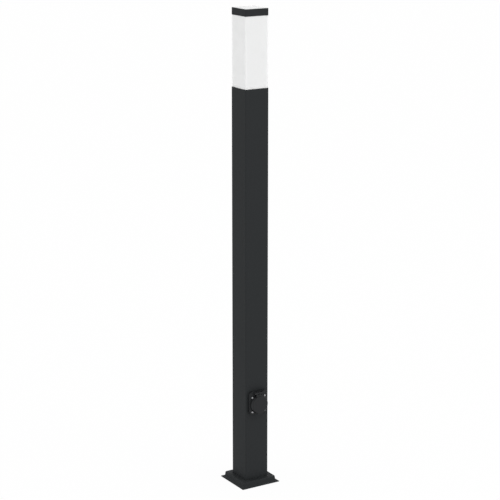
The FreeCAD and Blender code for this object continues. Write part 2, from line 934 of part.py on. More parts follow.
def socket_housing():
    """Flange, collar, plug recess and hinge ears in one moulding."""
    made = body("socket_housing")
    flange = sketch(made, "XY", S.gasket_thick)
    flange_outline(flange)
    pad(made, flange, S.flange_front - S.gasket_thick)
    fillet(made, S.flange_edge, at_level(S.flange_front))
    collar = sketch(made, "XY", S.flange_front)
    disc(collar, S.collar_radius)
    pad(made, collar, S.collar_front - S.flange_front)
    cup = sketch(made, "XY", floor_back)
    disc(cup, S.cup_radius)
    pad(made, cup, S.gasket_thick - floor_back)
    for side in (-1, 1):
        foot = S.tongue_width / 2 + S.ear_gap
        lift = foot if side > 0 else -foot - S.hinge_ear
        ear = sketch(made, "YZ", lift)
        wide = 2 * S.hinge_barrel_radius
        rectangle(ear, wide, S.hinge_out - S.gasket_thick, (S.hinge_up, (S.hinge_out + S.gasket_thick) / 2))
        pad(made, ear, S.hinge_ear)
        knuckle = sketch(made, "YZ", lift)
        disc(knuckle, S.hinge_barrel_radius, (S.hinge_up, S.hinge_out))
        pad(made, knuckle, S.hinge_ear)
    recess = sketch(made, "XY", S.collar_front)
    disc(recess, S.recess_radius)
    pocket(made, recess, S.recess_depth)
    for side in (-1, 1):
        guide = sketch(made, "XY", recess_floor)
        inner = S.recess_radius - S.guide_rise
        middle = (inner + S.cup_radius) / 2
        rectangle(guide, S.cup_radius - inner - S.cutout_gap, S.guide_width, (side * middle, 0))
        pad(made, guide, S.guide_length)
    holes = sketch(made, "XY", recess_floor)
    for side in (-1, 1):
        disc(holes, S.sleeve_bore_radius, (side * S.pin_pitch / 2, 0))
        outer = S.earth_reach + S.slot_gap / 2
        inner = S.earth_reach - S.earth_thick - S.earth_bow - S.slot_gap
        rectangle(holes, S.earth_width + 2 * S.slot_gap, outer - inner, (0, side * (outer + inner) / 2))
    pocket(made, holes, S.floor_thick)
    fixings = sketch(made, "XY", S.flange_front)
    for place_xy in socket_screw_places:
        disc(fixings, S.screw_radius + S.screw_clearance, place_xy)
    pocket(made, fixings, S.flange_front)
    pin_bore = sketch(made, "YZ", -hinge_span)
    disc(pin_bore, S.hinge_pin_radius, (S.hinge_up, S.hinge_out))
    pocket(made, pin_bore, 2 * hinge_span, forward=True)
    carrier_holes = sketch(made, "XY", floor_back)
    for side in (-1, 1):
        spot = side * S.carrier_screw_place
        disc(carrier_holes, S.screw_radius + S.running_fit, (spot, spot))
    pocket(made, carrier_holes, S.carrier_screw_bite, forward=True)
    return on_face(made)


def socket_screws():
    """Four domed screws through the flange into the post's wall."""
    screws = []
    for number, (across, up) in enumerate(socket_screw_places, start=1):
        screw = turned(f"socket_screw_{number}", [
            (0, screw_tip - S.flange_front),
            (S.screw_radius, screw_tip - S.flange_front + S.screw_radius),
            (S.screw_radius, 0),
            (S.screw_head_radius, 0),
            (S.screw_head_radius, S.screw_head_height / 2),
            (S.screw_crown_radius, S.screw_head_height),
            (0, S.screw_head_height),
        ])
        arm = S.screw_cross / 2
        half = S.screw_cross_width / 2
        cross = sketch(screw, "XY", S.screw_head_height)
        outline(cross, [
            (arm, -half), (arm, half), (half, half), (half, arm), (-half, arm), (-half, half),
            (-arm, half), (-arm, -half), (-half, -half), (-half, -arm), (half, -arm), (half, -half),
        ])
        pocket(screw, cross, S.screw_cross_depth)
        screws.append(place(screw, (across, up, S.flange_front)))
    return on_face(together("socket_screws", screws))


def lid():
    """Round hinged lid with its tongue, barrel, spring windows and finger lip."""
    made = body("lid")
    face = sketch(made, "XZ")
    outline(face, [
        (0, S.lid_back),
        (S.lid_rim_radius, S.lid_back),
        (S.lid_face_radius, S.lid_front),
        (0, S.lid_front),
    ])
    revolve(made, face)
    fillet(made, S.lid_edge, at_level(S.lid_front))
    tongue = sketch(made, "XY", S.tongue_back)
    tongue_foot = S.lid_face_radius / 2
    rectangle(tongue, S.tongue_width, S.hinge_up - tongue_foot, (0, (S.hinge_up + tongue_foot) / 2))
    pad(made, tongue, S.tongue_front - S.tongue_back)
    barrel = sketch(made, "YZ", -S.tongue_width / 2)
    disc(barrel, S.hinge_barrel_radius, (S.hinge_up, S.hinge_out))
    pad(made, barrel, S.tongue_width)
    lip = sketch(made, "XY", S.lip_back)
    lip_height = S.lip_reach - S.lip_root
    rounded(lip, S.lip_width, lip_height, S.lip_corner, (0, -(S.lip_reach + S.lip_root) / 2))
    pad(made, lip, S.lip_thick)
    cavity = sketch(made, "XY", S.lid_back)
    disc(cavity, S.lid_cavity_radius)
    pocket(made, cavity, S.lid_front - S.lid_plate - S.lid_back, forward=True)
    seat = sketch(made, "XY", S.lid_back)
    disc(seat, S.seal_seat_radius)
    pocket(made, seat, S.seal_seat_depth, forward=True)
    windows = sketch(made, "XY", S.hinge_out - S.hinge_barrel_radius)
    top = S.hinge_up + 2 * S.hinge_barrel_radius
    bottom = S.hinge_up - S.window_depth
    for side in (-1, 1):
        rectangle(windows, S.window_width, top - bottom, (side * S.window_place, (top + bottom) / 2))
    pocket(made, windows, 3 * S.hinge_barrel_radius, forward=True)
    bore = sketch(made, "YZ", -S.tongue_width / 2)
    disc(bore, S.hinge_pin_radius + S.running_fit, (S.hinge_up, S.hinge_out))
    pocket(made, bore, S.tongue_width, forward=True)
    return on_face(made)


def lid_seal():
    """Soft ring in the lid's seat, against the collar when the lid is shut."""
    return on_face(plate("lid_seal", lambda flat: (
        disc(flat, S.seal_seat_radius - S.close_fit),
        disc(flat, S.lid_cavity_radius),
    ), S.lid_back, S.seal_seat_depth))


def hinge_pin():
    """Steel pin held in the two ears and free in the lid's barrel."""
    made = body("hinge_pin")
    end = sketch(made, "YZ", -hinge_span)
    disc(end, S.hinge_pin_radius, (S.hinge_up, S.hinge_out))
    pad(made, end, 2 * hinge_span)
    return on_face(made)


def lid_springs():
    """Two torsion springs round the pin, one in each window, each with a leg down to the flange."""
    springs = []
    length = S.window_width - 2 * S.spring_gap
    inner = S.spring_radius - S.spring_wire / 2
    for side in (-1, 1):
        spring = body("lid_spring_left" if side < 0 else "lid_spring_right")
        coil = sketch(spring, "YZ", side * S.window_place - length / 2)
        disc(coil, inner + S.spring_wire, (S.hinge_up, S.hinge_out))
        disc(coil, inner, (S.hinge_up, S.hinge_out))
        pad(spring, coil, length)
        leg = sketch(spring, "YZ", side * S.window_place - length / 2)
        out = S.hinge_out - S.spring_radius
        reach = S.hinge_up - S.lid_rim_radius - S.spring_gap
        rectangle(leg, reach, S.spring_wire, (S.hinge_up - reach / 2, out))
        pad(spring, leg, S.spring_wire)
        springs.append(spring)
    return on_face(together("lid_springs", springs))


def contact_carrier():
    """Insulating block behind the recess floor that holds the contacts."""
    made = body("contact_carrier")
    drum = sketch(made, "XY", carrier_back)
    disc(drum, S.carrier_radius)
    disc(drum, S.earth_tail_radius + S.close_fit)
    for side in (-1, 1):
        disc(drum, S.sleeve_radius + S.running_fit, (side * S.pin_pitch / 2, 0))
        spot = side * S.carrier_screw_place
        disc(drum, S.screw_radius + S.running_fit, (spot, spot))
    pad(made, drum, S.carrier_depth)
    strap_way = sketch(made, "XY", floor_back)
    rectangle(strap_way, S.earth_width + 2 * S.close_fit, 2 * S.recess_radius)
    pocket(made, strap_way, S.earth_thick + S.close_fit)
    return on_face(made)


def wire_clamp(owner, tail_radius):
    """The wire hole in a contact's tail and the clamp screw's hole that meets it."""
    wire_way = sketch(owner, "XY", sleeve_back)
    disc(wire_way, S.wire_hole_radius)
    pocket(owner, wire_way, S.wire_hole_depth, forward=True)
    screw_way = sketch(owner, "XZ")
    disc(screw_way, S.clamp_radius + S.running_fit, (0, clamp_out))
    pocket(owner, screw_way, 2 * tail_radius)


def contact_sleeves():
    """Two brass sleeves for the plug's pins, each with a wire clamp at its back."""
    sleeves = []
    for side, name in ((-1, "left"), (1, "right")):
        sleeve = body(f"contact_sleeve_{name}")
        rod = sketch(sleeve, "XY", sleeve_back)
        disc(rod, S.sleeve_radius)
        pad(sleeve, rod, S.sleeve_length)
        bore = sketch(sleeve, "XY", floor_back)
        disc(bore, S.sleeve_bore_radius)
        pocket(sleeve, bore, S.sleeve_bore_depth)
        wire_clamp(sleeve, S.sleeve_radius)
        sleeves.append(place(sleeve, (side * S.pin_pitch / 2, 0, 0)))
    return on_face(together("contact_sleeves", sleeves))


def earth_strap():
    """Springy strap across the carrier with a bowed clip at each end and a tail for its wire."""
    made = body("earth_strap")
    outer = S.earth_reach
    inner = outer - S.earth_thick
    back = floor_back - S.earth_thick
    straight = back + S.earth_clip_straight
    bow = back + S.earth_clip_bow
    tip = back + S.earth_clip
    tip_in = S.earth_thick / 2
    right = [
        (outer, back), (outer, straight), (outer - S.earth_bow, bow), (outer - tip_in, tip),
        (inner - tip_in, tip), (inner - S.earth_bow, bow), (inner, straight), (inner, floor_back),
    ]
    left = [(-x, y) for x, y in reversed(right)]
    band = sketch(made, "YZ", -S.earth_width / 2)
    outline(band, right + left)
    pad(made, band, S.earth_width)
    tail = sketch(made, "XY", sleeve_back)
    disc(tail, S.earth_tail_radius)
    pad(made, tail, back - sleeve_back)
    wire_clamp(made, S.earth_tail_radius)
    return on_face(made)


def contact_clamps():
    """Three clamp screws that hold the socket's wires, standing up from the contacts' tails."""
    clamps = []
    for number, across in enumerate(poles, start=1):
        clamp = body(f"contact_clamp_{number}")
        end = sketch(clamp, "XZ", -S.clamp_rise)
        disc(end, S.clamp_radius, (0, clamp_out))
        pad(clamp, end, S.clamp_rise - S.core_radius)
        clamps.append(place(clamp, (across, 0, 0)))
    return on_face(together("contact_clamps", clamps))


def carrier_screws():
    """Two screws through the carrier into the back of the recess floor."""
    screws = []
    tip = floor_back + S.carrier_screw_bite
    for side, name in ((-1, "low"), (1, "high")):
        spot = side * S.carrier_screw_place
        screws.append(turned(f"carrier_screw_{name}", [
            (0, carrier_back - S.screw_head_height),
            (S.screw_head_radius, carrier_back - S.screw_head_height),
            (S.screw_head_radius, carrier_back),
            (S.screw_radius, carrier_back),
            (S.screw_radius, tip),
            (0, tip),
        ], (spot, spot, 0)))
    return on_face(together("carrier_screws", screws))


def rear_cover():
    """Cover over the socket's terminals, with a slot for the wires in its back."""
    front = floor_back - S.close_fit
    back = front - S.rear_cover_depth
    made = plate("rear_cover", lambda flat: disc(flat, S.rear_cover_radius), back, S.rear_cover_depth)
    hollow = sketch(made, "XY", front)
    disc(hollow, S.rear_cover_radius - S.rear_cover_wall)
    pocket(made, hollow, S.rear_cover_depth - S.rear_cover_wall)
    slot = sketch(made, "XY", front)
    rounded(slot, S.rear_slot_width, S.rear_slot_height, S.rear_slot_height / 3)
    pocket(made, slot, S.rear_cover_depth)
    return on_face(made)


# Terminals on the post's back wall, above the socket


def terminal_tray():
    """Plate spot-welded to the back wall, for the terminal block and the earth stud."""
    made = body("terminal_tray")
    sheet_metal = sketch(made, "XZ", -tray_back)
    height = S.tray_below + S.tray_above
    middle = S.terminal_height + (S.tray_above - S.tray_below) / 2
    rectangle(sheet_metal, S.tray_width, height, (0, middle))
    for side in (-1, 1):
        disc(sheet_metal, S.block_screw_radius + S.running_fit, (side * S.pin_pitch / 4, S.terminal_height))
    pad(made, sheet_metal, S.tray_thick)
    return made


def terminal_block():
    """Three-pole block with a bore for each pole's insert."""
    made = body("terminal_block")
    front = sketch(made, "XZ", -tray_front)
    rectangle(front, S.block_width, S.block_height, (0, S.terminal_height))
    pad(made, front, S.block_depth)
    bores = sketch(made, "XY", block_top)
    for pole in poles:
        disc(bores, S.insert_radius + S.running_fit, (pole, pole_y))
    pocket(made, bores, S.block_height)
    ways = sketch(made, "XZ", -block_front)
    for pole in poles:
        for side in (-1, 1):
            spot = (pole, S.terminal_height + side * S.clamp_spread / 2)
            disc(ways, S.clamp_head_radius + S.close_fit, spot)
    pocket(made, ways, S.block_depth / 2)
    fixings = sketch(made, "XZ", -block_front)
    sinks = sketch(made, "XZ", -block_front)
    for side in (-1, 1):
        spot = (side * S.pin_pitch / 4, S.terminal_height)
        disc(fixings, S.block_screw_radius + S.running_fit, spot)
        disc(sinks, S.block_head_radius + S.close_fit, spot)
    pocket(made, fixings, S.block_depth)
    pocket(made, sinks, S.block_head_height)
    return made


def terminal_inserts():
    """Three brass inserts, one for each pole."""
    foot = S.terminal_height - S.insert_length / 2
    inserts = []
    for number, pole in enumerate(poles, start=1):
        insert = plate(f"terminal_insert_{number}", lambda flat: (
            disc(flat, S.insert_radius, (pole, pole_y)),
            disc(flat, S.insert_bore_radius, (pole, pole_y)),
        ), foot, S.insert_length)
        ways = sketch(insert, "XZ", -pole_y)
        for side in (-1, 1):
            spot = (pole, S.terminal_height + side * S.clamp_spread / 2)
            disc(ways, S.clamp_shank_radius + S.running_fit, spot)
        pocket(insert, ways, 2 * S.insert_radius, forward=True)
        inserts.append(insert)
    return together("terminal_inserts", inserts)


def terminal_screws():
    """Six clamp screws, two to a pole, whose tips rest on the wires."""
    shoulder = pole_y - S.insert_radius
    tip = pole_y - S.core_radius
    front = block_front + S.close_fit
    screws = []
    for number, pole in enumerate(poles, start=1):
        for side, name in ((-1, "low"), (1, "high")):
            height = S.terminal_height + side * S.clamp_spread / 2
            screws.append(turned(f"terminal_screw_{number}_{name}", [
                (0, -tip),
                (S.clamp_shank_radius, -tip),
                (S.clamp_shank_radius, -shoulder + S.running_fit),
                (S.clamp_head_radius, -shoulder + S.running_fit),
                (S.clamp_head_radius, -front),
                (0, -front),
            ], (pole, 0, height), FACE_TURN))
    return together("terminal_screws", screws)


def block_screws():
    """Two screws that fix the terminal block to its tray."""
    seat = block_front + S.block_head_height
    screws = []
    for side, name in ((-1, "left"), (1, "right")):
        screws.append(turned(f"block_screw_{name}", [
            (0, -tray_back + S.close_fit),
            (S.block_screw_radius, -tray_back + S.close_fit),
            (S.block_screw_radius, -seat),
            (S.block_head_radius, -seat),
            (S.block_head_radius, -block_front),
            (0, -block_front),
        ], (side * S.pin_pitch / 4, 0, S.terminal_height), FACE_TURN))
    return together("block_screws", screws)


def stud_piece(name, draw, start, thick):
    """A piece on the earth stud's axis, from a distance off the tray towards -Y."""
    made = body(name)
    end = sketch(made, "XZ", -tray_front + start)
    draw(end, (S.pin_pitch / 2, stud_height))
    pad(made, end, thick)
    return made


def earth_stud():
    """Threaded stud welded to the tray."""
    return stud_piece("earth_stud", lambda end, spot: disc(end, S.stud_radius, spot), 0, S.stud_length)


def earth_washer():
    """Toothed washer under the earth lead's ring."""
    return stud_piece("earth_washer", lambda end, spot: (
        disc(end, S.washer_radius, spot),
        disc(end, S.stud_radius + S.running_fit, spot),
    ), 0, S.washer_thick)


def earth_nut():
    """Nut that holds the earth lead's ring on the stud."""
    return stud_piece("earth_nut", lambda end, spot: (
        hexagon(end, S.nut_radius, spot),
        disc(end, S.stud_radius + S.running_fit, spot),
    ), 2 * S.washer_thick, S.nut_thick)


# Wiring inside the post


def earth_lead():
    """Short wire from the earth pole to a ring on the stud."""
    ring_y = tray_front - S.washer_thick - S.washer_thick / 2
    neck = stud_height - S.washer_radius - S.washer_thick / 2
    start = block_top - S.core_grip
    third = (neck - block_top) / 3
    wire = tube_along("earth_lead", [
        (S.pin_pitch / 2, pole_y, start),
        (S.pin_pitch / 2, pole_y, block_top + third / 2),
        (S.pin_pitch / 2, ring_y, neck - third),
        (S.pin_pitch / 2, ring_y, neck),
    ], S.core_radius)
    x, y, z = (S.pin_pitch / 2).value, ring_y.value, stud_height.value
    thick = S.washer_thick.value
    into_post = Vector(0, 1, 0)
    ring = Part.makeCylinder(S.nut_radius.value, thick, Vector(x, y - thick / 2, z), into_post)
    width = 2 * S.core_radius.value
    tab_foot = neck.value - S.core_radius.value
    tab_corner = Vector(x - width / 2, y - thick / 2, tab_foot)
    tab = Part.makeBox(width, thick, z - tab_foot, tab_corner)
    stud_way = (S.stud_radius + S.running_fit).value
    hole = Part.makeCylinder(stud_way, 2 * thick, Vector(x, y - thick, z), into_post)
    return shaped("earth_lead", wire.fuse([ring, tab]).cut(hole).removeSplitter())


def socket_leads():
    """Three wires from the socket's contacts up to the terminal block."""
    start = sleeve_back + S.wire_hole_depth - S.close_fit
    wires = []
    for number, pole in enumerate(poles, start=1):
        wires.append(tube_along(f"socket_lead_{number}", [
            (pole, -face_out - start, S.socket_height),
            (pole, pole_y, S.socket_height),
            (pole, pole_y, block_foot + S.core_grip),
        ], S.core_radius))
    return shaped("socket_leads", Part.makeCompound(wires))


lead_x = -S.pin_pitch / 4
lead_foot = block_top + S.core_fan


def lamp_cores():
    """Two wires from the block up to the end of the lamp lead's sheath."""
    wires = []
    for number, (pole, side) in enumerate(((poles[0], -1), (poles[1], 1)), start=1):
        meet = lead_x + S.core_spacing * side / 2
        wires.append(tube_along(f"lamp_core_{number}", [
            (pole, pole_y, block_top - S.core_grip),
            (pole, pole_y, block_top + S.core_fan / 3),
            (meet, pole_y, block_top + S.core_meet),
            (meet, pole_y, lead_foot),
        ], S.core_radius))
    return shaped("lamp_cores", Part.makeCompound(wires))


def lamp_lead():
    """Sheathed lead up the post and through the stem to the lamp holder."""
    bend_top = stem_foot - S.lead_bend_drop / 2
    return shaped("lamp_lead", tube_along("lamp_lead", [
        (lead_x, pole_y, lead_foot),
        (lead_x, pole_y, bend_top - S.lead_bend_run),
        (0, 0, bend_top),
        (0, 0, contact_base_foot - S.close_fit),
    ], S.lead_radius))


nodes = [make() for make in (
    post_tube, mounting_plate, cable_bushing, base_cover,
    diffuser, neck_seal, top_cap, cap_seal,
    lamp_bracket, holder_stem, stem_nuts, holder_cap, contact_base, centre_contact,
    holder_sleeve, screw_shell, bulb_cap, bulb_body, light_board, bulb_globe,
    socket_gasket, socket_housing, socket_screws, lid, lid_seal, hinge_pin, lid_springs,
    contact_carrier, contact_sleeves, earth_strap, contact_clamps, carrier_screws, rear_cover,
    terminal_tray, terminal_block, terminal_inserts, terminal_screws, block_screws,
    earth_stud, earth_washer, earth_nut, earth_lead, socket_leads, lamp_cores, lamp_lead,
)]
doc.recompute()

for thing in doc.Objects:
    if "Invalid" in thing.State or "Error" in thing.State:
        raise RuntimeError(f"{thing.Name} failed: {thing.State}")
for node in nodes:
    if node.Shape.isNull() or not node.Shape.isValid() or not node.Shape.Solids:
        raise RuntimeError(f"{node.Label} has no valid solid")

os.makedirs("parts", exist_ok=True)
for node in nodes:
    node.Shape.exportStep(f"parts/{node.Label}.step")
print(f"{len(nodes)} pieces written")
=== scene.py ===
"""Looks of the square bollard light with a lidded socket: finishes, pieces, stage and camera.

Metres, +Z up, socket on the -Y face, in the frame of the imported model.
"""
import json
import math

import bmesh
import bpy
from mathutils import Matrix, Vector

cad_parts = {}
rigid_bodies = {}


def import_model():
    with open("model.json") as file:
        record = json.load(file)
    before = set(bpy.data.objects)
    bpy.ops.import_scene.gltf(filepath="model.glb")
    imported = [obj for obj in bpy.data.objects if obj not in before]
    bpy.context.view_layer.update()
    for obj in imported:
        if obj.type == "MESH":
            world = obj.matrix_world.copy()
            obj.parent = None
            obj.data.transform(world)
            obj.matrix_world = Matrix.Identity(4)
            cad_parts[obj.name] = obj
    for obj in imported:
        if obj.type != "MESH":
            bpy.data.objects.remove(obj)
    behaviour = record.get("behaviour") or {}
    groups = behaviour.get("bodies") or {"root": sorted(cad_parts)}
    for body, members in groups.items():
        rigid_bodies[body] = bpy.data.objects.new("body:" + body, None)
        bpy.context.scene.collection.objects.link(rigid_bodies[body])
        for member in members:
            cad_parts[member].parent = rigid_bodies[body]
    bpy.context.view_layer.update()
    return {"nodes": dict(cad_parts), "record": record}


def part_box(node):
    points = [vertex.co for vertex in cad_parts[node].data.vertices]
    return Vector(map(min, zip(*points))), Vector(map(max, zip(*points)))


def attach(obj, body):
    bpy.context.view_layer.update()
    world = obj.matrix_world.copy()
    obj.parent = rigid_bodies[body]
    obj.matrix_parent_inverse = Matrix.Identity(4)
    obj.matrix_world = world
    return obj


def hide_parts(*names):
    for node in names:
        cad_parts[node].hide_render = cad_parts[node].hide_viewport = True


for leftover in list(bpy.data.objects):
    bpy.data.objects.remove(leftover)
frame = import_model()
nodes = frame["nodes"]
MM = 0.001

# Post and lamp head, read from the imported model
post_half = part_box("post_tube")[1].x
post_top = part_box("post_tube")[1].z
plate_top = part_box("mounting_plate")[1].z
cover_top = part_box("base_cover")[1].z
cover_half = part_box("base_cover")[1].x
diffuser_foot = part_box("diffuser")[0].z
diffuser_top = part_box("diffuser")[1].z
diffuser_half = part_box("diffuser")[1].x
cap_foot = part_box("top_cap")[0].z
cap_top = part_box("top_cap")[1].z
cap_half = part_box("top_cap")[1].x
seal_foot, seal_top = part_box("neck_seal")[0].z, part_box("neck_seal")[1].z

# Pressed foot cover
COVER_LIP = 1.0 * MM
COVER_STEP = 4.2 * MM
COVER_BOX = 43.75 * MM
COVER_TOP_HALF = 43.0 * MM
COVER_WALL = 1.0 * MM
COVER_REST = 48.5 * MM
COVER_OPENING = post_half + 0.4 * MM
COVER_CORNERS = {"lip": 1.5 * MM, "box": 4.0 * MM, "inside": 3.0 * MM, "opening": 2.8 * MM}

# Lamp head
SMOOTH_SKIN = 0.15 * MM
CAP_WALL = 1.5 * MM
CAP_CORNER = 2.2 * MM
CAP_FLAT_CORNER = 1.4 * MM
CAP_EDGE = 0.9 * MM
NECK_HALF = 28.3 * MM
TOP_NECK_HALF = 28.05 * MM
GROOVE_HALF = 27.3 * MM
DIFFUSER_INSIDE = 26.2 * MM
DIFFUSER_CORNER = 2.4 * MM
INNER_CORNER = 0.9 * MM
SHOULDER_EDGE = 0.5 * MM

# Socket
face_out = post_half
socket_height = 197.4 * MM
SCREW_ACROSS = 32.6 * MM
SCREW_UP = 34.4 * MM
FLANGE_FRONT = 7.0 * MM
HINGE_OUT = 12.0 * MM
HINGE_UP = 27.4 * MM
WINDOW_PLACE = 3.7 * MM

CORNER_STEPS = 8
ARC_STEPS = 5


class Link:
    """A shader socket that takes part in Python arithmetic and adds its Math nodes on the way."""

    def __init__(self, shading, socket):
        self.shading = shading
        self.socket = socket

    def join(self, operation, *values):
        """A Math node fed with these values and sockets, in this order."""
        inputs = dict(enumerate(values))
        return self.shading.node("ShaderNodeMath", {"operation": operation}, inputs)

    def highest(self, other):
        """The larger of this socket and another value."""
        return self.join("MAXIMUM", self, other)

    def remainder(self):
        """What is left past the last whole number."""
        return self.join("FRACT", self)

    def __add__(self, other):
        return self.join("ADD", self, other)

    def __radd__(self, other):
        return self.join("ADD", other, self)

    def __sub__(self, other):
        return self.join("SUBTRACT", self, other)

    def __rsub__(self, other):
        return self.join("SUBTRACT", other, self)

    def __mul__(self, other):
        return self.join("MULTIPLY", self, other)

    def __rmul__(self, other):
        return self.join("MULTIPLY", other, self)

    def __gt__(self, other):
        return self.join("GREATER_THAN", self, other)

    def __lt__(self, other):
        return self.join("LESS_THAN", self, other)


# Sockets of a colour Mix node, whose names repeat
MIX_FACTOR, MIX_LOW, MIX_HIGH = 0, 6, 7
MIX_RESULT = 2


class Shading:
    """A shader node tree that is filled through one method."""

    def __init__(self, block):
        block.use_nodes = True
        self.tree = block.node_tree
        self.tree.nodes.clear()

    def feed(self, socket, value):
        """Set an input to a value, or link it to another socket."""
        if isinstance(value, Link):
            self.tree.links.new(value.socket, socket)
        elif socket.type == "RGBA":
            socket.default_value = (*value, 1.0)[:4]
        else:
            socket.default_value = value

    def node(self, kind, settings=None, inputs=None, out=0):
        """Any node, its settings first and then its sockets, by name or number."""
        made = self.tree.nodes.new(kind)
        for setting, value in (settings or {}).items():
            setattr(made, setting, value)
        for key, value in (inputs or {}).items():
            self.feed(made.inputs[key], value)
        return Link(self, made.outputs[out]) if made.outputs else None


class Finish(Shading):
    """One procedural material: a Principled shader, its fixed sockets, and what varies over the surface."""

    def __init__(self, name, **fixed):
        self.material = bpy.data.materials.new(name)
        super().__init__(self.material)
        self.shader = self.node("ShaderNodeBsdfPrincipled")
        self.node("ShaderNodeOutputMaterial", {}, {"Surface": self.shader})
        self.varies(**fixed)

    def varies(self, **sockets):
        """Set or link the shader's sockets, whose names have _ for a space here."""
        for socket, value in sockets.items():
            self.feed(self.shader.socket.node.inputs[socket.replace("_", " ")], value)
        return self.material

    def place(self):
        """Where a point is on the piece, in metres."""
        return self.node("ShaderNodeTexCoord", out="Object")

    def along(self, axis):
        """Where a point is along one axis, in metres."""
        return self.node("ShaderNodeSeparateXYZ", {}, {"Vector": self.place()}, out=axis)

    def noise(self, scale, detail=2.0, rough=0.5, stretch=None):
        """A soft random pattern from 0 to 1, with so many lumps to the metre."""
        where = self.place()
        if stretch:
            inputs = {"Vector": where, "Scale": stretch}
            where = self.node("ShaderNodeMapping", {"vector_type": "POINT"}, inputs)
        inputs = {"Vector": where, "Scale": scale, "Detail": detail, "Roughness": rough}
        return self.node("ShaderNodeTexNoise", {"noise_dimensions": "3D"}, inputs)

    def cells(self, scale):
        """Distance from the nearest of many random points: small round grains."""
        inputs = {"Vector": self.place(), "Scale": scale, "Randomness": 1.0}
        return self.node("ShaderNodeTexVoronoi", {"feature": "F1"}, inputs)

    def blend(self, factor, low, high):
        """A colour between two others."""
        inputs = {MIX_FACTOR: factor, MIX_LOW: low, MIX_HIGH: high}
        return self.node("ShaderNodeMix", {"data_type": "RGBA"}, inputs, out=MIX_RESULT)

    def spread(self, value, low, high):
        """Stretch the middle of a pattern so that it fills 0 to 1."""
        inputs = {"Value": value, "From Min": low, "From Max": high}
        return self.node("ShaderNodeMapRange", {"clamp": True}, inputs)

    def bump(self, height, depth, strength=1.0):
        """A normal that follows a height pattern, whose full depth is given in metres."""
        inputs = {"Height": height, "Distance": depth, "Strength": strength}
        return self.node("ShaderNodeBump", {}, inputs, out="Normal")


def powder_coat():
    """Matt anthracite powder coat: fine orange peel, faint specks, and a smoother skin on the cap's top."""
    finish = Finish("matt_powder_coat", Specular_IOR_Level=0.2, IOR=1.45)
    drift = finish.noise(7.0, 3.0)
    peel = finish.noise(620.0, 2.0, 0.6)
    grit = finish.noise(2600.0, 1.0)
    specks = finish.spread(grit, 0.35, 0.7)
    base = finish.blend(drift, (0.0178, 0.0197, 0.0209), (0.0208, 0.0230, 0.0244))
    colour = finish.blend(specks * 0.3, base, (0.025, 0.028, 0.0295))
    cap_skin = finish.along("Z") > cap_top - SMOOTH_SKIN
    matt = 0.64 + drift * 0.08 + specks * 0.06
    return finish.varies(
        Base_Color=colour,
        Roughness=matt - cap_skin * 0.42,
        Normal=finish.bump(peel * 0.5 + grit * 0.5, 0.16 * MM, 0.6),
    )


def moulded_black():
    """Moulded plastic in the post's colour, with a spark-eroded mould texture."""
    finish = Finish("moulded_dark_plastic", Specular_IOR_Level=0.25, IOR=1.45)
    drift = finish.noise(22.0, 2.0)
    spark = finish.cells(2100.0)
    fine = finish.noise(4800.0, 1.0)
    colour = finish.blend(drift, (0.0125, 0.0132, 0.0145), (0.0155, 0.0165, 0.0180))
    return finish.varies(
        Base_Color=colour,
        Roughness=0.40 + drift * 0.12 + fine * 0.08,
        Normal=finish.bump(spark * 0.6 + fine * 0.4, 0.08 * MM, 0.6),
    )


def opal_plastic():
    """Opal white plastic: smooth outside, soft light inside."""
    finish = Finish(
        "opal_plastic",
        Specular_IOR_Level=0.4,
        IOR=1.49,
        Subsurface_Weight=0.35,
        Subsurface_Radius=(0.012, 0.012, 0.012),
        Subsurface_Scale=1.0,
    )
    cloud = finish.noise(9.0, 2.0)
    skin = finish.noise(2200.0, 1.0)
    colour = finish.blend(cloud, (0.886, 0.892, 0.890), (0.898, 0.903, 0.901))
    return finish.varies(
        Base_Color=colour,
        Roughness=0.22 + cloud * 0.08 + skin * 0.04,
        Normal=finish.bump(skin, 0.008 * MM, 0.25),
    )


def plated_zinc():
    """Dull zinc plate with faint grain and blooms."""
    finish = Finish("dull_zinc_plate", Specular_IOR_Level=0.5)
    bloom = finish.noise(55.0, 4.0)
    grain = finish.noise(900.0, 3.0, 0.6, (1.0, 1.0, 0.15))
    colour = finish.blend(bloom, (0.40, 0.41, 0.42), (0.58, 0.59, 0.60))
    return finish.varies(
        Base_Color=colour,
        Metallic=0.85 + bloom * 0.15,
        Roughness=0.30 + bloom * 0.22,
        Normal=finish.bump(grain, 0.02 * MM, 0.4),
    )


def bright_steel():
    """Bright plated steel with fine turning marks."""
    finish = Finish("bright_plated_steel", Metallic=1.0)
    smear = finish.noise(260.0, 3.0)
    marks = finish.noise(2600.0, 1.0, 0.5, (1.0, 0.15, 1.0))
    colour = finish.blend(smear, (0.66, 0.67, 0.68), (0.82, 0.82, 0.83))
    return finish.varies(
        Base_Color=colour,
        Roughness=0.16 + smear * 0.16,
        Normal=finish.bump(marks, 0.008 * MM, 0.3),
    )


def screw_steel():
    """Satin stainless of the flange screws, with faint driver scuffs."""
    finish = Finish("satin_stainless", Metallic=1.0)
    smear = finish.noise(420.0, 3.0)
    scuff = finish.noise(3600.0, 1.0, 0.5, (1.0, 1.0, 0.3))
    return finish.varies(
        Base_Color=finish.blend(smear, (0.36, 0.37, 0.38), (0.52, 0.52, 0.53)),
        Roughness=0.26 + smear * 0.14,
        Normal=finish.bump(scuff, 0.006 * MM, 0.4),
    )


def spring_steel():
    """Spring steel in a near-black colour that is painted shade, standing for the shade in the hinge's
    windows, with random blotches.
    """
    finish = Finish("shade_darkened_spring_steel", Metallic=1.0)
    blotch = finish.noise(420.0, 3.0)
    return finish.varies(
        # The near-black colour range is painted shade of the hinge windows, not the steel's own colour.
        Base_Color=finish.blend(blotch, (0.030, 0.030, 0.033), (0.075, 0.075, 0.080)),
        Roughness=0.30 + blotch * 0.2,
    )


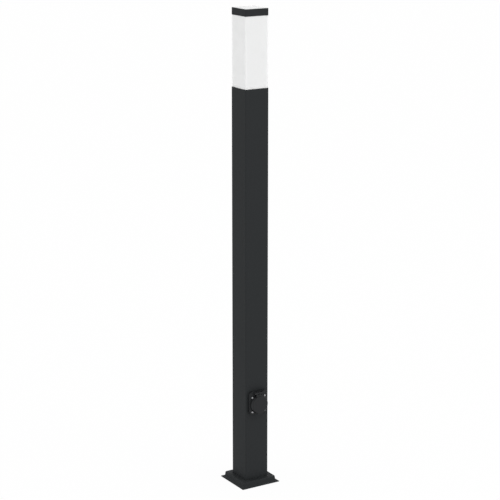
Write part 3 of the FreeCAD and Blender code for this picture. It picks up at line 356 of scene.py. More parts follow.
def plain_brass():
    """Plain brass, a little dull in patches."""
    finish = Finish("plain_brass", Metallic=1.0)
    tarnish = finish.noise(190.0, 4.0)
    colour = finish.blend(tarnish, (0.80, 0.62, 0.31), (0.58, 0.41, 0.17))
    return finish.varies(
        Base_Color=colour,
        Roughness=0.20 + tarnish * 0.22,
        Normal=finish.bump(tarnish, 0.01 * MM, 0.3),
    )


def rolled_metal():
    """Rolled bright metal of the bulb's cap."""
    finish = Finish("rolled_cap_metal", Metallic=1.0)
    marks = finish.noise(700.0, 2.0, 0.5, (0.2, 0.2, 1.0))
    colour = finish.blend(marks, (0.70, 0.71, 0.72), (0.86, 0.86, 0.87))
    return finish.varies(Base_Color=colour, Roughness=0.22 + marks * 0.16)


def fired_clay():
    """Unglazed ceramic, off white and chalky."""
    finish = Finish("unglazed_ceramic", Specular_IOR_Level=0.3)
    chalk = finish.noise(420.0, 4.0)
    colour = finish.blend(chalk, (0.74, 0.72, 0.66), (0.86, 0.85, 0.80))
    return finish.varies(
        Base_Color=colour, Roughness=0.62 + chalk * 0.2, Normal=finish.bump(chalk, 0.05 * MM, 0.5)
    )


def smooth_plastic(name, dark, light, roughness):
    """Plain moulded plastic with faint flow marks."""
    finish = Finish(name, Specular_IOR_Level=0.3, IOR=1.5)
    flow = finish.noise(60.0, 3.0, 0.5, (1.0, 1.0, 0.3))
    fine = finish.noise(3000.0, 1.0)
    return finish.varies(
        Base_Color=finish.blend(flow, dark, light),
        Roughness=roughness + flow * 0.1,
        Normal=finish.bump(fine, 0.012 * MM, 0.4),
    )


def soft_rubber():
    """Black rubber with a dusty bloom."""
    finish = Finish("soft_black_rubber", Specular_IOR_Level=0.3)
    bloom = finish.noise(75.0, 4.0)
    skin = finish.noise(1500.0, 2.0)
    colour = finish.blend(bloom, (0.012, 0.012, 0.012), (0.030, 0.030, 0.029))
    return finish.varies(
        Base_Color=colour, Roughness=0.68 + bloom * 0.16, Normal=finish.bump(skin, 0.03 * MM, 0.6)
    )


BLUE_SHEATH = (0.02, 0.10, 0.42)
BROWN_SHEATH = (0.14, 0.055, 0.025)
GREEN_SHEATH = (0.03, 0.26, 0.06)
YELLOW_SHEATH = (0.78, 0.62, 0.04)
GREY_SHEATH = (0.42, 0.43, 0.44)
STRIPES_PER_METRE = 220.0
STRIPE_START = 0.7


def wire_sheath(name, left, middle, right, split_left, split_right):
    """Wire sheath whose colour goes by the wire's place across the post; the middle one may be striped."""
    finish = Finish(name, Specular_IOR_Level=0.4, IOR=1.5)
    across = finish.along("X")
    stripe = ((across + finish.along("Z")) * STRIPES_PER_METRE).remainder()
    centre = finish.blend(stripe > STRIPE_START, middle[0], middle[1])
    low = finish.blend(across < split_left, centre, left)
    colour = finish.blend(across > split_right, low, right)
    skin = finish.noise(900.0, 2.0)
    return finish.varies(
        Base_Color=colour, Roughness=0.38 + skin * 0.12, Normal=finish.bump(skin, 0.02 * MM, 0.4)
    )


def weld_metal():
    """Weld bead under the powder coat's primer: darker, with heat colour along it."""
    finish = Finish("coated_weld", Specular_IOR_Level=0.4)
    heat = finish.noise(160.0, 3.0)
    return finish.varies(
        Base_Color=finish.blend(heat, (0.020, 0.021, 0.021), (0.045, 0.045, 0.046)),
        Roughness=0.42 + heat * 0.2,
        Normal=finish.bump(finish.noise(1400.0, 2.0), 0.04 * MM, 0.5),
    )


finishes = {
    "powder_coat": powder_coat(),
    "black_plastic": moulded_black(),
    "opal": opal_plastic(),
    "zinc_steel": plated_zinc(),
    "bright_steel": bright_steel(),
    "contact_brass": plain_brass(),
    "bulb_metal": rolled_metal(),
    "ceramic": fired_clay(),
    "holder_plastic": smooth_plastic(
        "moulded_black_holder", dark=(0.018, 0.018, 0.018), light=(0.028, 0.028, 0.028), roughness=0.34),
    "white_plastic": smooth_plastic(
        "moulded_white_plastic", dark=(0.74, 0.74, 0.72), light=(0.82, 0.82, 0.80), roughness=0.36),
    "black_rubber": soft_rubber(),
}

# Wires change colour at places across the post; a place far outside it leaves a wire in one colour
WIRE_SPLIT = 4.75 * MM
FAR_OUT = 1.0
EARTH_PAIR = (GREEN_SHEATH, YELLOW_SHEATH)
wire_finishes = {
    "socket_leads": wire_sheath(
        "socket_wires", BLUE_SHEATH, EARTH_PAIR, BROWN_SHEATH, -WIRE_SPLIT, WIRE_SPLIT),
    "lamp_cores": wire_sheath(
        "lamp_wires", BLUE_SHEATH, (BROWN_SHEATH, BROWN_SHEATH), BROWN_SHEATH, -WIRE_SPLIT, -WIRE_SPLIT),
    "earth_lead": wire_sheath(
        "earth_wire", GREEN_SHEATH, EARTH_PAIR, GREEN_SHEATH, -FAR_OUT, FAR_OUT),
    "lamp_lead": wire_sheath(
        "lamp_sheath", GREY_SHEATH, (GREY_SHEATH, GREY_SHEATH), GREY_SHEATH, -FAR_OUT, FAR_OUT),
}
slot_of = {row["node"]: row["material_slot"] for row in frame["record"]["subparts"]}
bodies = frame["record"]["behaviour"]["bodies"]
body_of = {node: body for body, members in bodies.items() for node in members}


def dress(thing, material):
    """Give an object one material."""
    thing.data.materials.clear()
    thing.data.materials.append(material)


for name, node in nodes.items():
    dress(node, wire_finishes.get(name) or finishes[slot_of[name]])


def smooth(mesh, sharp_over=32.0):
    """Smooth shading, kept crisp at edges sharper than an angle in degrees."""
    mesh.shade_smooth()
    mesh.set_sharp_from_angle(angle=math.radians(sharp_over))


def weigh_normals(thing):
    """Let the large flat faces keep their shading flat."""
    weigh = thing.modifiers.new("flat_faces", "WEIGHTED_NORMAL")
    weigh.keep_sharp = True


def keep(thing, *replaced, body=None, slot=None):
    """Join a finished piece to the frame in place of CAD nodes."""
    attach(thing, body or body_of[replaced[0]])
    if replaced:
        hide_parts(*replaced)


def make(name, mesh, material):
    """A new object at the origin with its place in its mesh."""
    thing = bpy.data.objects.new(name, mesh)
    bpy.context.scene.collection.objects.link(thing)
    dress(thing, material)
    return thing


EASE_STEPS = 3
EASE_OVER = math.radians(35.0)
MERGE_WITHIN = 0.002 * MM
FLAT_WITHIN = math.radians(0.6)


def eased(node, width):
    """A merged copy of a CAD node with its sharp edges rounded, in place of the node."""
    shape = bmesh.new()
    shape.from_mesh(nodes[node].data)
    bmesh.ops.remove_doubles(shape, verts=shape.verts, dist=MERGE_WITHIN)
    bmesh.ops.dissolve_limit(
        shape, angle_limit=FLAT_WITHIN, verts=shape.verts, edges=shape.edges, delimit=set())
    mesh = bpy.data.meshes.new(f"{node}_eased")
    shape.to_mesh(mesh)
    shape.free()
    thing = make(f"{node}_eased", mesh, nodes[node].data.materials[0])
    smooth(mesh)
    bevel = thing.modifiers.new("eased_edges", "BEVEL")
    bevel.width = width
    bevel.segments = EASE_STEPS
    bevel.limit_method = "ANGLE"
    bevel.angle_limit = EASE_OVER
    bevel.use_clamp_overlap = True
    bevel.harden_normals = False
    bevel.miter_outer = "MITER_ARC"
    weigh_normals(thing)
    keep(thing, node)


def ring(half, corner, height):
    """Points round a square with round corners."""
    reach = half - corner
    points = []
    for quarter, (side_x, side_y) in enumerate(((1, 1), (-1, 1), (-1, -1), (1, -1))):
        for step in range(CORNER_STEPS + 1):
            angle = math.pi / 2 * (quarter + step / CORNER_STEPS)
            x = side_x * reach + corner * math.cos(angle)
            y = side_y * reach + corner * math.sin(angle)
            points.append(Vector((x, y, height)))
    return points


SHORTEST_RUN = 1e-9
ALMOST_HALF = 0.48


def soften(profile):
    """Round the turns of a profile, each point being (half width, height, turn radius, plan corner)."""
    rounded = []
    for number, (half, height, turn, corner) in enumerate(profile):
        here = Vector((half, height))
        before = Vector(profile[number - 1][:2])
        after = Vector(profile[(number + 1) % len(profile)][:2])
        inward, onward = here - before, after - here
        if turn <= 0 or min(inward.length, onward.length) < SHORTEST_RUN:
            rounded.append((half, height, corner))
            continue
        angle = inward.angle(onward)
        longest = ALMOST_HALF * min(inward.length, onward.length)
        reach = min(turn * math.tan(angle / 2), longest)
        start = here - inward.normalized() * reach
        end = here + onward.normalized() * reach
        for step in range(ARC_STEPS + 1):
            share = step / ARC_STEPS
            point = start * (1 - share) ** 2 + here * 2 * share * (1 - share) + end * share ** 2
            rounded.append((point.x, point.y, corner))
    return rounded


def square_shell(name, profile, material, capped=False):
    """A skin of round-cornered squares along a profile, closed on itself or capped at both ends."""
    shape = bmesh.new()
    rings = [[shape.verts.new(p) for p in ring(half, corner, height)] for half, height, corner in profile]
    pairs = list(zip(rings, rings[1:])) + ([] if capped else [(rings[-1], rings[0])])
    for low, high in pairs:
        for here in range(len(low)):
            there = (here + 1) % len(low)
            shape.faces.new((low[here], low[there], high[there], high[here]))
    if capped:
        shape.faces.new(rings[0][::-1])
        shape.faces.new(rings[-1])
    bmesh.ops.recalc_face_normals(shape, faces=shape.faces)
    mesh = bpy.data.meshes.new(name)
    shape.to_mesh(mesh)
    shape.free()
    thing = make(name, mesh, material)
    smooth(mesh)
    weigh_normals(thing)
    return thing


def foot_cover():
    """Pressed cover round the post's foot: lip, sloping skirt, box and flat top, in one sheet."""
    lip, box = COVER_CORNERS["lip"], COVER_CORNERS["box"]
    inside, opening = COVER_CORNERS["inside"], COVER_CORNERS["opening"]
    under = cover_top - COVER_WALL
    # Half width, height, radius of the turn, and corner seen from above
    profile = soften([
        (cover_half, 0.0, 0.25 * MM, lip),
        (cover_half, COVER_LIP, 0.5 * MM, lip),
        (COVER_BOX, COVER_STEP, 1.4 * MM, box),
        (COVER_TOP_HALF, cover_top, 1.7 * MM, box),
        (COVER_OPENING, cover_top, 0.3 * MM, opening),
        (COVER_OPENING, under, 0.2 * MM, opening),
        (COVER_TOP_HALF - COVER_WALL, under, 0.7 * MM, inside),
        (COVER_BOX - COVER_WALL, COVER_STEP - COVER_WALL, 0.6 * MM, inside),
        (COVER_REST, 0.0, 0.1 * MM, lip),
    ])
    keep(square_shell("pressed_foot_cover", profile, finishes["powder_coat"]), "base_cover")


def lamp_cap():
    """Shallow cap: rim, sides, a soft top edge and the hollow below."""
    inside = cap_half - CAP_WALL
    ceiling = cap_top - CAP_WALL
    corner = INNER_CORNER
    profile = [(inside - CAP_EDGE, ceiling, corner)] + soften([
        (inside, ceiling, 0.0, corner),
        (inside, cap_foot, 0.2 * MM, corner),
        (cap_half, cap_foot, 0.3 * MM, CAP_CORNER),
        (cap_half, cap_top, CAP_EDGE, CAP_CORNER),
        (cap_half - 3 * CAP_EDGE, cap_top, 0.0, CAP_FLAT_CORNER),
    ])
    keep(square_shell("lamp_cap", profile, finishes["powder_coat"], capped=True), "top_cap")


def opal_tube():
    """Opal tube with a grooved neck in the post and a plain neck in the cap."""
    edge = SHOULDER_EDGE
    profile = soften([
        (NECK_HALF, diffuser_foot, edge, INNER_CORNER),
        (NECK_HALF, seal_foot, 0.1 * MM, INNER_CORNER),
        (GROOVE_HALF, seal_foot, 0.1 * MM, INNER_CORNER),
        (GROOVE_HALF, seal_top, 0.1 * MM, INNER_CORNER),
        (NECK_HALF, seal_top, 0.1 * MM, INNER_CORNER),
        (NECK_HALF, post_top, 0.1 * MM, INNER_CORNER),
        (diffuser_half, post_top, 0.4 * MM, DIFFUSER_CORNER),
        (diffuser_half, cap_foot, 0.4 * MM, DIFFUSER_CORNER),
        (TOP_NECK_HALF, cap_foot, 0.1 * MM, INNER_CORNER),
        (TOP_NECK_HALF, diffuser_top, edge, INNER_CORNER),
        (DIFFUSER_INSIDE, diffuser_top, edge, INNER_CORNER),
        (DIFFUSER_INSIDE, diffuser_foot, edge, INNER_CORNER),
    ])
    keep(square_shell("opal_tube", profile, finishes["opal"]), "diffuser")


# Place of the plain number among a Random Value node's outputs
RANDOM_NUMBER = 1


class Tree:
    """A geometry tree with named inputs, built node by node."""

    def __init__(self, name, **inputs):
        self.group = bpy.data.node_groups.new(name, "GeometryNodeTree")
        self.group.interface.new_socket("Geometry", in_out="OUTPUT", socket_type="NodeSocketGeometry")
        self.keys = {}
        for label, (kind, value) in inputs.items():
            made = self.group.interface.new_socket(label, in_out="INPUT", socket_type=f"NodeSocket{kind}")
            if value is not None:
                made.default_value = value
            self.keys[label] = made.identifier
        self.entry = self.group.nodes.new("NodeGroupInput")

    def __getitem__(self, label):
        return self.entry.outputs[label]

    def node(self, kind, settings=None, inputs=None, out=0):
        """One node: its settings, then its sockets, and the output asked for."""
        made = self.group.nodes.new(kind)
        for setting, value in (settings or {}).items():
            setattr(made, setting, value)
        for key, value in (inputs or {}).items():
            if isinstance(value, bpy.types.NodeSocket):
                self.group.links.new(value, made.inputs[key])
            else:
                made.inputs[key].default_value = value
        return made.outputs[out] if made.outputs else None

    def join(self, *shapes):
        """Several geometries as one."""
        made = self.group.nodes.new("GeometryNodeJoinGeometry")
        for shape in reversed(shapes):
            self.group.links.new(shape, made.inputs[0])
        return made.outputs[0]

    def finish(self, shape, material, rounded=False):
        """Realize, shade and paint the last geometry."""
        real = self.node("GeometryNodeRealizeInstances", {}, {0: shape})
        if rounded:
            real = self.node("GeometryNodeSetShadeSmooth", {}, {"Geometry": real, "Shade Smooth": True})
        painted = self.node("GeometryNodeSetMaterial", {}, {"Geometry": real, "Material": material})
        self.node("NodeGroupOutput", {}, {0: painted})


def grow(name, tree, material, **values):
    """Run a geometry tree with these values and keep its result as a plain mesh."""
    host = make(f"{name}_host", bpy.data.meshes.new(f"{name}_host"), material)
    modifier = host.modifiers.new("grown", "NODES")
    modifier.node_group = tree.group
    for label, value in values.items():
        modifier[tree.keys[label]] = value
    host.update_tag()
    graph = bpy.context.evaluated_depsgraph_get()
    mesh = bpy.data.meshes.new_from_object(host.evaluated_get(graph))
    host.modifiers.clear()
    bpy.data.objects.remove(host)
    mesh.name = name
    return make(name, mesh, material)


ON_AXIS = 1e-7


def turned(name, profile, material, steps=48, closed=False):
    """A turned shape from (radius, height) points, its ends on the axis or its profile closed on itself."""
    shape = bmesh.new()
    rows = []
    for radius, height in profile:
        if radius < ON_AXIS:
            rows.append([shape.verts.new((0, 0, height))])
            continue
        angles = [2 * math.pi * step / steps for step in range(steps)]
        rows.append([shape.verts.new((radius * math.cos(a), radius * math.sin(a), height)) for a in angles])
    pairs = list(zip(rows, rows[1:])) + ([(rows[-1], rows[0])] if closed else [])
    for low, high in pairs:
        for here in range(steps):
            there = (here + 1) % steps
            below = [low[here % len(low)], low[there % len(low)]]
            above = [high[there % len(high)], high[here % len(high)]]
            shape.faces.new(list(dict.fromkeys(below + above)))
    bmesh.ops.recalc_face_normals(shape, faces=shape.faces)
    mesh = bpy.data.meshes.new(name)
    shape.to_mesh(mesh)
    shape.free()
    smooth(mesh)
    return make(name, mesh, material)


def carve(target, cutter):
    """Cut one object out of another and drop the cutter."""
    cut = target.modifiers.new("cut", "BOOLEAN")
    cut.operation = "DIFFERENCE"
    cut.solver = "EXACT"
    cut.object = cutter
    graph = bpy.context.evaluated_depsgraph_get()
    mesh = bpy.data.meshes.new_from_object(target.evaluated_get(graph))
    target.modifiers.clear()
    target.data = mesh
    bpy.data.objects.remove(cutter)


SCREW_HEAD = 2.6 * MM
SCREW_RISE = 2.0 * MM
SCREW_RIM = 0.5 * MM
SCREW_SHANK = 1.45 * MM
SCREW_LENGTH = 12.0 * MM
SCREW_TIP = 0.55 * SCREW_SHANK
SCREW_CHAMFER = 0.8 * MM
SCREW_TAPER = 2.2 * MM
DOME_STEPS = 9
SCREW_CREASE = 25.0

CROSS_REACH = 1.45 * MM
CROSS_HALF = 0.34 * MM
CROSS_DEPTH = 1.0 * MM
CROSS_TAPER = 0.55
CROSS_FLARE = 1.6


def cross_cutter():
    """A tapered plus shape that cuts a screw's cross recess."""
    shape = bmesh.new()
    rows = []
    levels = ((SCREW_RISE - CROSS_DEPTH, CROSS_TAPER), (SCREW_RISE + CROSS_DEPTH, CROSS_FLARE))
    for height, share in levels:
        row = []
        for quarter in range(4):
            turn = Matrix.Rotation(quarter * math.pi / 2, 3, "Z")
            for x, y in ((CROSS_REACH, -CROSS_HALF), (CROSS_REACH, CROSS_HALF), (CROSS_HALF, CROSS_HALF)):
                row.append(shape.verts.new(turn @ Vector((x * share, y * share, height))))
        rows.append(row)
    count = len(rows[0])
    for here in range(count):
        there = (here + 1) % count
        shape.faces.new((rows[0][here], rows[0][there], rows[1][there], rows[1][here]))
    shape.faces.new(rows[0][::-1])
    shape.faces.new(rows[1])
    bmesh.ops.recalc_face_normals(shape, faces=shape.faces)
    mesh = bpy.data.meshes.new("cross_cutter")
    shape.to_mesh(mesh)
    shape.free()
    return make("cross_cutter", mesh, finishes["bright_steel"])


def screw_blank():
    """One domed screw with a cross recess, its head's seat at the origin and its head up +Z."""
    curve = []
    for step in range(DOME_STEPS + 1):
        angle = math.pi / 2 * step / DOME_STEPS
        curve.append((SCREW_HEAD * math.cos(angle), SCREW_RIM + (SCREW_RISE - SCREW_RIM) * math.sin(angle)))
    curve[-1] = (0.0, SCREW_RISE)
    shank = [
        (0.0, -SCREW_LENGTH), (SCREW_TIP, -SCREW_LENGTH + SCREW_CHAMFER),
        (SCREW_SHANK, -SCREW_LENGTH + SCREW_TAPER), (SCREW_SHANK, 0.0), (SCREW_HEAD, 0.0),
    ]
    screw = turned("screw_blank", shank + curve, finishes["bright_steel"])
    carve(screw, cross_cutter())
    smooth(screw.data, SCREW_CREASE)
    return screw


def socket_screws():
    """Four domed screws at the flange's corners, each left at its own turn."""
    blank = screw_blank()
    tree = Tree(
        "flange_screws",
        Screw=("Object", None), Across=("Float", SCREW_ACROSS), Up=("Float", SCREW_UP),
        Out=("Float", face_out + FLANGE_FRONT), Height=("Float", socket_height), Seed=("Int", 3),
    )
    corners = tree.node(
        "GeometryNodeMeshGrid", {},
        {"Size X": tree["Across"], "Size Y": tree["Up"], "Vertices X": 2, "Vertices Y": 2})
    shape = tree.node("GeometryNodeObjectInfo", {}, {"Object": tree["Screw"]}, out="Geometry")
    spin = tree.node(
        "FunctionNodeRandomValue", {"data_type": "FLOAT"},
        {"Min": 0.0, "Max": math.pi / 2, "Seed": tree["Seed"]}, out=RANDOM_NUMBER)
    turn = tree.node("ShaderNodeCombineXYZ", {}, {"Z": spin})
    placed = tree.node(
        "GeometryNodeInstanceOnPoints", {}, {"Points": corners, "Instance": shape, "Rotation": turn})
    minus = tree.node("ShaderNodeMath", {"operation": "MULTIPLY"}, {0: tree["Out"], 1: -1.0})
    place = tree.node("ShaderNodeCombineXYZ", {}, {"Y": minus, "Z": tree["Height"]})
    real = tree.node("GeometryNodeRealizeInstances", {}, {0: placed})
    moved = tree.node(
        "GeometryNodeTransform", {},
        {"Geometry": real, "Translation": place, "Rotation": (math.pi / 2, 0.0, 0.0)})
    steel = screw_steel()
    tree.finish(moved, steel)
    screws = grow("flange_screws", tree, steel, Screw=blank)
    bpy.data.objects.remove(blank)
    keep(screws, "socket_screws")


SPRING_WIRE = 0.27 * MM
SPRING_RADIUS = 2.5 * MM
SPRING_TURNS = 4.75
SPRING_LENGTH = 2.9 * MM
SPRING_LEG = 5.6 * MM
SPRING_STEPS = 28
SPRING_SIDES = 10


def coil_springs():
    """A coil in each window of the hinge, with a leg down to the flange."""
    tree = Tree(
        "hinge_springs",
        Wire=("Float", SPRING_WIRE), Coil=("Float", SPRING_RADIUS), Turns=("Float", SPRING_TURNS),
        Length=("Float", SPRING_LENGTH), Leg=("Float", SPRING_LEG), Place=("Float", WINDOW_PLACE),
    )
    coil = tree.node(
        "GeometryNodeCurveSpiral", {},
        {"Resolution": SPRING_STEPS, "Rotations": tree["Turns"], "Start Radius": tree["Coil"],
         "End Radius": tree["Coil"], "Height": tree["Length"]})
    foot = tree.node("ShaderNodeCombineXYZ", {}, {"X": tree["Coil"]})
    minus = tree.node("ShaderNodeMath", {"operation": "MULTIPLY"}, {0: tree["Leg"], 1: -1.0})
    tip = tree.node("ShaderNodeCombineXYZ", {}, {"X": tree["Coil"], "Y": minus})
    leg = tree.node("GeometryNodeCurvePrimitiveLine", {}, {"Start": tip, "End": foot})
    section = tree.node(
        "GeometryNodeCurvePrimitiveCircle", {}, {"Resolution": SPRING_SIDES, "Radius": tree["Wire"]})
    wire = tree.node(
        "GeometryNodeCurveToMesh", {},
        {"Curve": tree.join(coil, leg), "Profile Curve": section, "Fill Caps": True})
    centred = tree.node("ShaderNodeMath", {"operation": "MULTIPLY"}, {0: tree["Length"], 1: -0.5})
    both = []
    for side in (-1, 1):
        spot = tree.node(
            "ShaderNodeMath", {"operation": "MULTIPLY_ADD"}, {0: tree["Place"], 1: side, 2: centred})
        along = tree.node("ShaderNodeCombineXYZ", {}, {"Z": spot})
        both.append(tree.node("GeometryNodeTransform", {}, {"Geometry": wire, "Translation": along}))
    # The springs' finish carries painted shade: a near-black colour for the shaded hinge windows.
    steel = spring_steel()
    tree.finish(tree.join(*both), steel, rounded=True)
    springs = grow("hinge_springs", tree, steel)
    axis_at = Vector((0.0, -face_out - HINGE_OUT, socket_height + HINGE_UP))
    across = Matrix(((0, 0, 1), (1, 0, 0), (0, 1, 0))).to_4x4()
    springs.data.transform(Matrix.Translation(axis_at) @ across)
    keep(springs, "lid_springs")


BEAD_RADIUS = 1.7 * MM
BEAD_STEP = 1.5 * MM
BEAD_SIZE = (1.0, 1.0, 0.85)
BEAD_SWELL = (0.85, 1.12)
BEAD_OUT = 0.3 * MM
WELD_CORNER = 2.4 * MM
CORNER_POINTS = 5


def foot_weld():
    """Ripples of weld where the post stands on its plate."""
    tree = Tree(
        "foot_weld",
        Side=("Float", 2 * (post_half + BEAD_OUT)), Corner=("Float", WELD_CORNER),
        Step=("Float", BEAD_STEP), Bead=("Float", BEAD_RADIUS), Height=("Float", plate_top),
        Seed=("Int", 11),
    )
    square = tree.node(
        "GeometryNodeCurvePrimitiveQuadrilateral", {}, {"Width": tree["Side"], "Height": tree["Side"]})
    path = tree.node(
        "GeometryNodeFilletCurve", {"mode": "POLY"},
        {"Curve": square, "Radius": tree["Corner"], "Count": CORNER_POINTS})
    points = tree.node(
        "GeometryNodeResampleCurve", {"mode": "LENGTH"}, {"Curve": path, "Length": tree["Step"]})
    ball = tree.node("GeometryNodeMeshIcoSphere", {}, {"Radius": tree["Bead"], "Subdivisions": 2})
    swell = tree.node(
        "FunctionNodeRandomValue", {"data_type": "FLOAT"},
        {"Min": BEAD_SWELL[0], "Max": BEAD_SWELL[1], "Seed": tree["Seed"]}, out=RANDOM_NUMBER)
    flat = tree.node("ShaderNodeVectorMath", {"operation": "SCALE"}, {0: BEAD_SIZE, "Scale": swell})
    beads = tree.node(
        "GeometryNodeInstanceOnPoints", {}, {"Points": points, "Instance": ball, "Scale": flat})
    lift = tree.node("ShaderNodeCombineXYZ", {}, {"Z": tree["Height"]})
    raised = tree.node("GeometryNodeTransform", {}, {"Geometry": beads, "Translation": lift})
    metal = weld_metal()
    tree.finish(raised, metal, rounded=True)
    weld = grow("foot_weld", tree, metal)
    keep(weld, body="post", slot="powder_coat")


def thread(name, core, crest, pitch, foot, top, material, steps, sides):
    """A rolled thread wound round an upright core, from one height to another."""
    turns = (top - foot) / pitch
    tree = Tree(
        name,
        Core=("Float", core), Turns=("Float", turns), Rise=("Float", top - foot),
        Foot=("Float", foot), Crest=("Float", crest),
    )
    spiral = tree.node(
        "GeometryNodeCurveSpiral", {},
        {"Resolution": steps, "Rotations": tree["Turns"], "Start Radius": tree["Core"],
         "End Radius": tree["Core"], "Height": tree["Rise"]})
    section = tree.node(
        "GeometryNodeCurvePrimitiveCircle", {}, {"Resolution": sides, "Radius": tree["Crest"]})
    ridge = tree.node(
        "GeometryNodeCurveToMesh", {}, {"Curve": spiral, "Profile Curve": section, "Fill Caps": True})
    lift = tree.node("ShaderNodeCombineXYZ", {}, {"Z": tree["Foot"]})
    raised = tree.node("GeometryNodeTransform", {}, {"Geometry": ridge, "Translation": lift})
    tree.finish(raised, material, rounded=True)
    return grow(name, tree, material)


BULB_THREAD_CORE = 12.35 * MM
BULB_THREAD_CREST = 0.75 * MM
BULB_THREAD_PITCH = 3.6 * MM
BULB_THREAD_END = 2.4 * MM
BULB_TIP = 5.3 * MM
BULB_RIM = 12.9 * MM
BULB_RIM_FOOT = 1.0 * MM
BULB_RIM_SLOPE = 1.6 * MM
BULB_STEPS = 96
# Radius and height of the tip contact and the collar round it, in millimetres
BULB_TIP_PROFILE = ((0.0, 0.0), (3.6, 0.0), (4.5, 0.5), (4.8, 1.4), (8.6, 2.2), (11.6, 4.2))


def bulb_thread():
    """Screw cap of the bulb: tip contact, insulating collar, and a rolled thread."""
    low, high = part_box("bulb_cap")
    foot, top = low.z, high.z
    screw_foot = foot + BULB_TIP
    tip = [(radius * MM, foot + rise * MM) for radius, rise in BULB_TIP_PROFILE]
    shell = [
        (BULB_THREAD_CORE, screw_foot), (BULB_THREAD_CORE, top - BULB_RIM_SLOPE),
        (BULB_RIM, top - BULB_RIM_FOOT), (BULB_RIM, top), (0.0, top),
    ]
    core = turned("bulb_cap_core", tip + shell, finishes["bulb_metal"], steps=BULB_STEPS)
    keep(core, "bulb_cap")
    ridge = thread(
        "bulb_cap_thread", BULB_THREAD_CORE, BULB_THREAD_CREST, BULB_THREAD_PITCH,
        screw_foot, top - BULB_THREAD_END, finishes["bulb_metal"], steps=40, sides=8)
    keep(ridge, body="post", slot="bulb_metal")


STEM_CORE = 4.62 * MM
STEM_CREST = 0.37 * MM
STEM_PITCH = 1.0 * MM
STEM_BORE = 3.3 * MM
STEM_CHAMFER = 0.5 * MM


def threaded_stem():
    """Threaded tube that carries the lamp holder, its lead running through."""
    low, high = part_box("holder_stem")
    foot, top = low.z, high.z
    core = turned("threaded_stem", [
        (STEM_BORE, foot), (STEM_CORE - STEM_CHAMFER, foot), (STEM_CORE, foot + STEM_CHAMFER),
        (STEM_CORE, top - STEM_CHAMFER), (STEM_CORE - STEM_CHAMFER, top), (STEM_BORE, top),
    ], finishes["zinc_steel"], closed=True)
    keep(core, "holder_stem")
    ridge = thread(
        "stem_thread", STEM_CORE, STEM_CREST, STEM_PITCH,
        foot + STEM_PITCH, top - STEM_PITCH, finishes["zinc_steel"], steps=24, sides=6)
    keep(ridge, body="post", slot="zinc_steel")


# Pieces that only have their edges eased, with the width of the rounding
EASED_EDGES = {
    "post_tube": 0.25 * MM, "mounting_plate": 0.4 * MM, "socket_housing": 0.35 * MM, "lid": 0.35 * MM,
    "lamp_bracket": 0.25 * MM, "stem_nuts": 0.3 * MM, "holder_cap": 0.4 * MM, "holder_sleeve": 0.4 * MM,
    "hinge_pin": 0.2 * MM, "contact_base": 0.3 * MM, "cable_bushing": 0.4 * MM,
}

foot_cover()
lamp_cap()
opal_tube()
socket_screws()
coil_springs()
foot_weld()
bulb_thread()
threaded_stem()
for node, width in EASED_EDGES.items():
    eased(node, width)


# Stage: pale floor, white surroundings, soft lamps and the photograph's view
WHITE = (1.0, 1.0, 1.0)
FLOOR_COLOUR = (0.9, 0.9, 0.9)
FLOOR_REACH = 12.0
FLOOR_GLOW = 0.95
WORLD_LIGHT = 1.0


def sees_background(shading):
    """1 for rays that look straight, mirrored or refracted into the surroundings."""
    straight = shading.node("ShaderNodeLightPath", out="Is Camera Ray")
    mirrored = shading.node("ShaderNodeLightPath", out="Is Glossy Ray")
    refracted = shading.node("ShaderNodeLightPath", out="Is Transmission Ray")
    return straight.highest(mirrored).highest(refracted)


def pale_floor():
    """A wide pale floor, nearly white to the eye, that keeps the object's shadow."""
    shape = bmesh.new()
    bmesh.ops.create_grid(shape, x_segments=1, y_segments=1, size=FLOOR_REACH)
    mesh = bpy.data.meshes.new("pale_floor")
    shape.to_mesh(mesh)
    shape.free()
    material = bpy.data.materials.new("pale_floor")
    shading = Shading(material)
    matt = shading.node("ShaderNodeBsdfDiffuse", {}, {"Color": FLOOR_COLOUR})
    glow = shading.node("ShaderNodeEmission", {}, {"Color": WHITE})
    share = sees_background(shading) * FLOOR_GLOW
    mixed = shading.node("ShaderNodeMixShader", {}, {"Fac": share, 1: matt, 2: glow})
    shading.node("ShaderNodeOutputMaterial", {}, {"Surface": mixed})
    make("pale_floor", mesh, material)


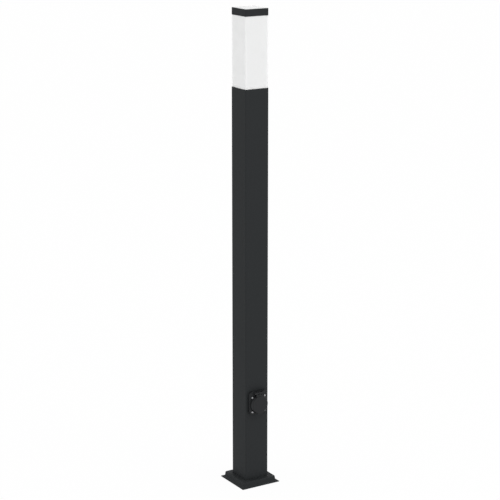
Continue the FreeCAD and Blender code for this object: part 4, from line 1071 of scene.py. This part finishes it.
def surroundings():
    """White to the eye and in reflections, and an even soft light on everything else."""
    world = bpy.data.worlds.new("studio")
    bpy.context.scene.world = world
    shading = Shading(world)
    lit = shading.node("ShaderNodeBackground", {}, {"Color": WHITE, "Strength": WORLD_LIGHT})
    seen = shading.node("ShaderNodeBackground", {}, {"Color": WHITE, "Strength": 1.0})
    mixed = shading.node("ShaderNodeMixShader", {}, {"Fac": sees_background(shading), 1: lit, 2: seen})
    shading.node("ShaderNodeOutputWorld", {}, {"Surface": mixed})


def soft_lamp(name, place, target, size, watts, gleam_only=False):
    """A large square lamp that looks at a point; one may show in reflections only."""
    light = bpy.data.lights.new(name, "AREA")
    light.shape = "SQUARE"
    light.size = size
    light.energy = watts
    lamp = bpy.data.objects.new(name, light)
    bpy.context.scene.collection.objects.link(lamp)
    lamp.location = place
    lamp.rotation_euler = (Vector(target) - Vector(place)).to_track_quat("-Z", "Y").to_euler()
    lamp.visible_diffuse = not gleam_only


CAMERA_TURN = math.radians(31.7)
CAMERA_AWAY = 3.6107
CAMERA_HEIGHT = 1.4858
CAMERA_PITCH = math.radians(14.47)
CAMERA_LENS = 118.7
SENSOR = 36.0


def camera():
    """The photograph's viewpoint, tilted down at the post with no lens shift."""
    data = bpy.data.cameras.new("view")
    data.lens = CAMERA_LENS
    data.sensor_width = SENSOR
    data.clip_start = 0.05
    data.clip_end = 60.0
    viewer = bpy.data.objects.new("view", data)
    bpy.context.scene.collection.objects.link(viewer)
    side, front = math.sin(CAMERA_TURN) * CAMERA_AWAY, math.cos(CAMERA_TURN) * CAMERA_AWAY
    viewer.location = (-side, -front, CAMERA_HEIGHT)
    viewer.rotation_euler = (math.pi / 2 - CAMERA_PITCH, 0.0, -CAMERA_TURN)
    bpy.context.scene.camera = viewer


pale_floor()
surroundings()
soft_lamp("key", place=(1.6, -2.6, 2.4), target=(0.0, 0.0, 0.6), size=1.8, watts=12.0)
soft_lamp("back", place=(0.75, 1.22, 1.50), target=(0.0, 0.0, 1.10), size=0.7, watts=3.3, gleam_only=True)
camera()
bpy.context.scene.view_settings.view_transform = "Standard"
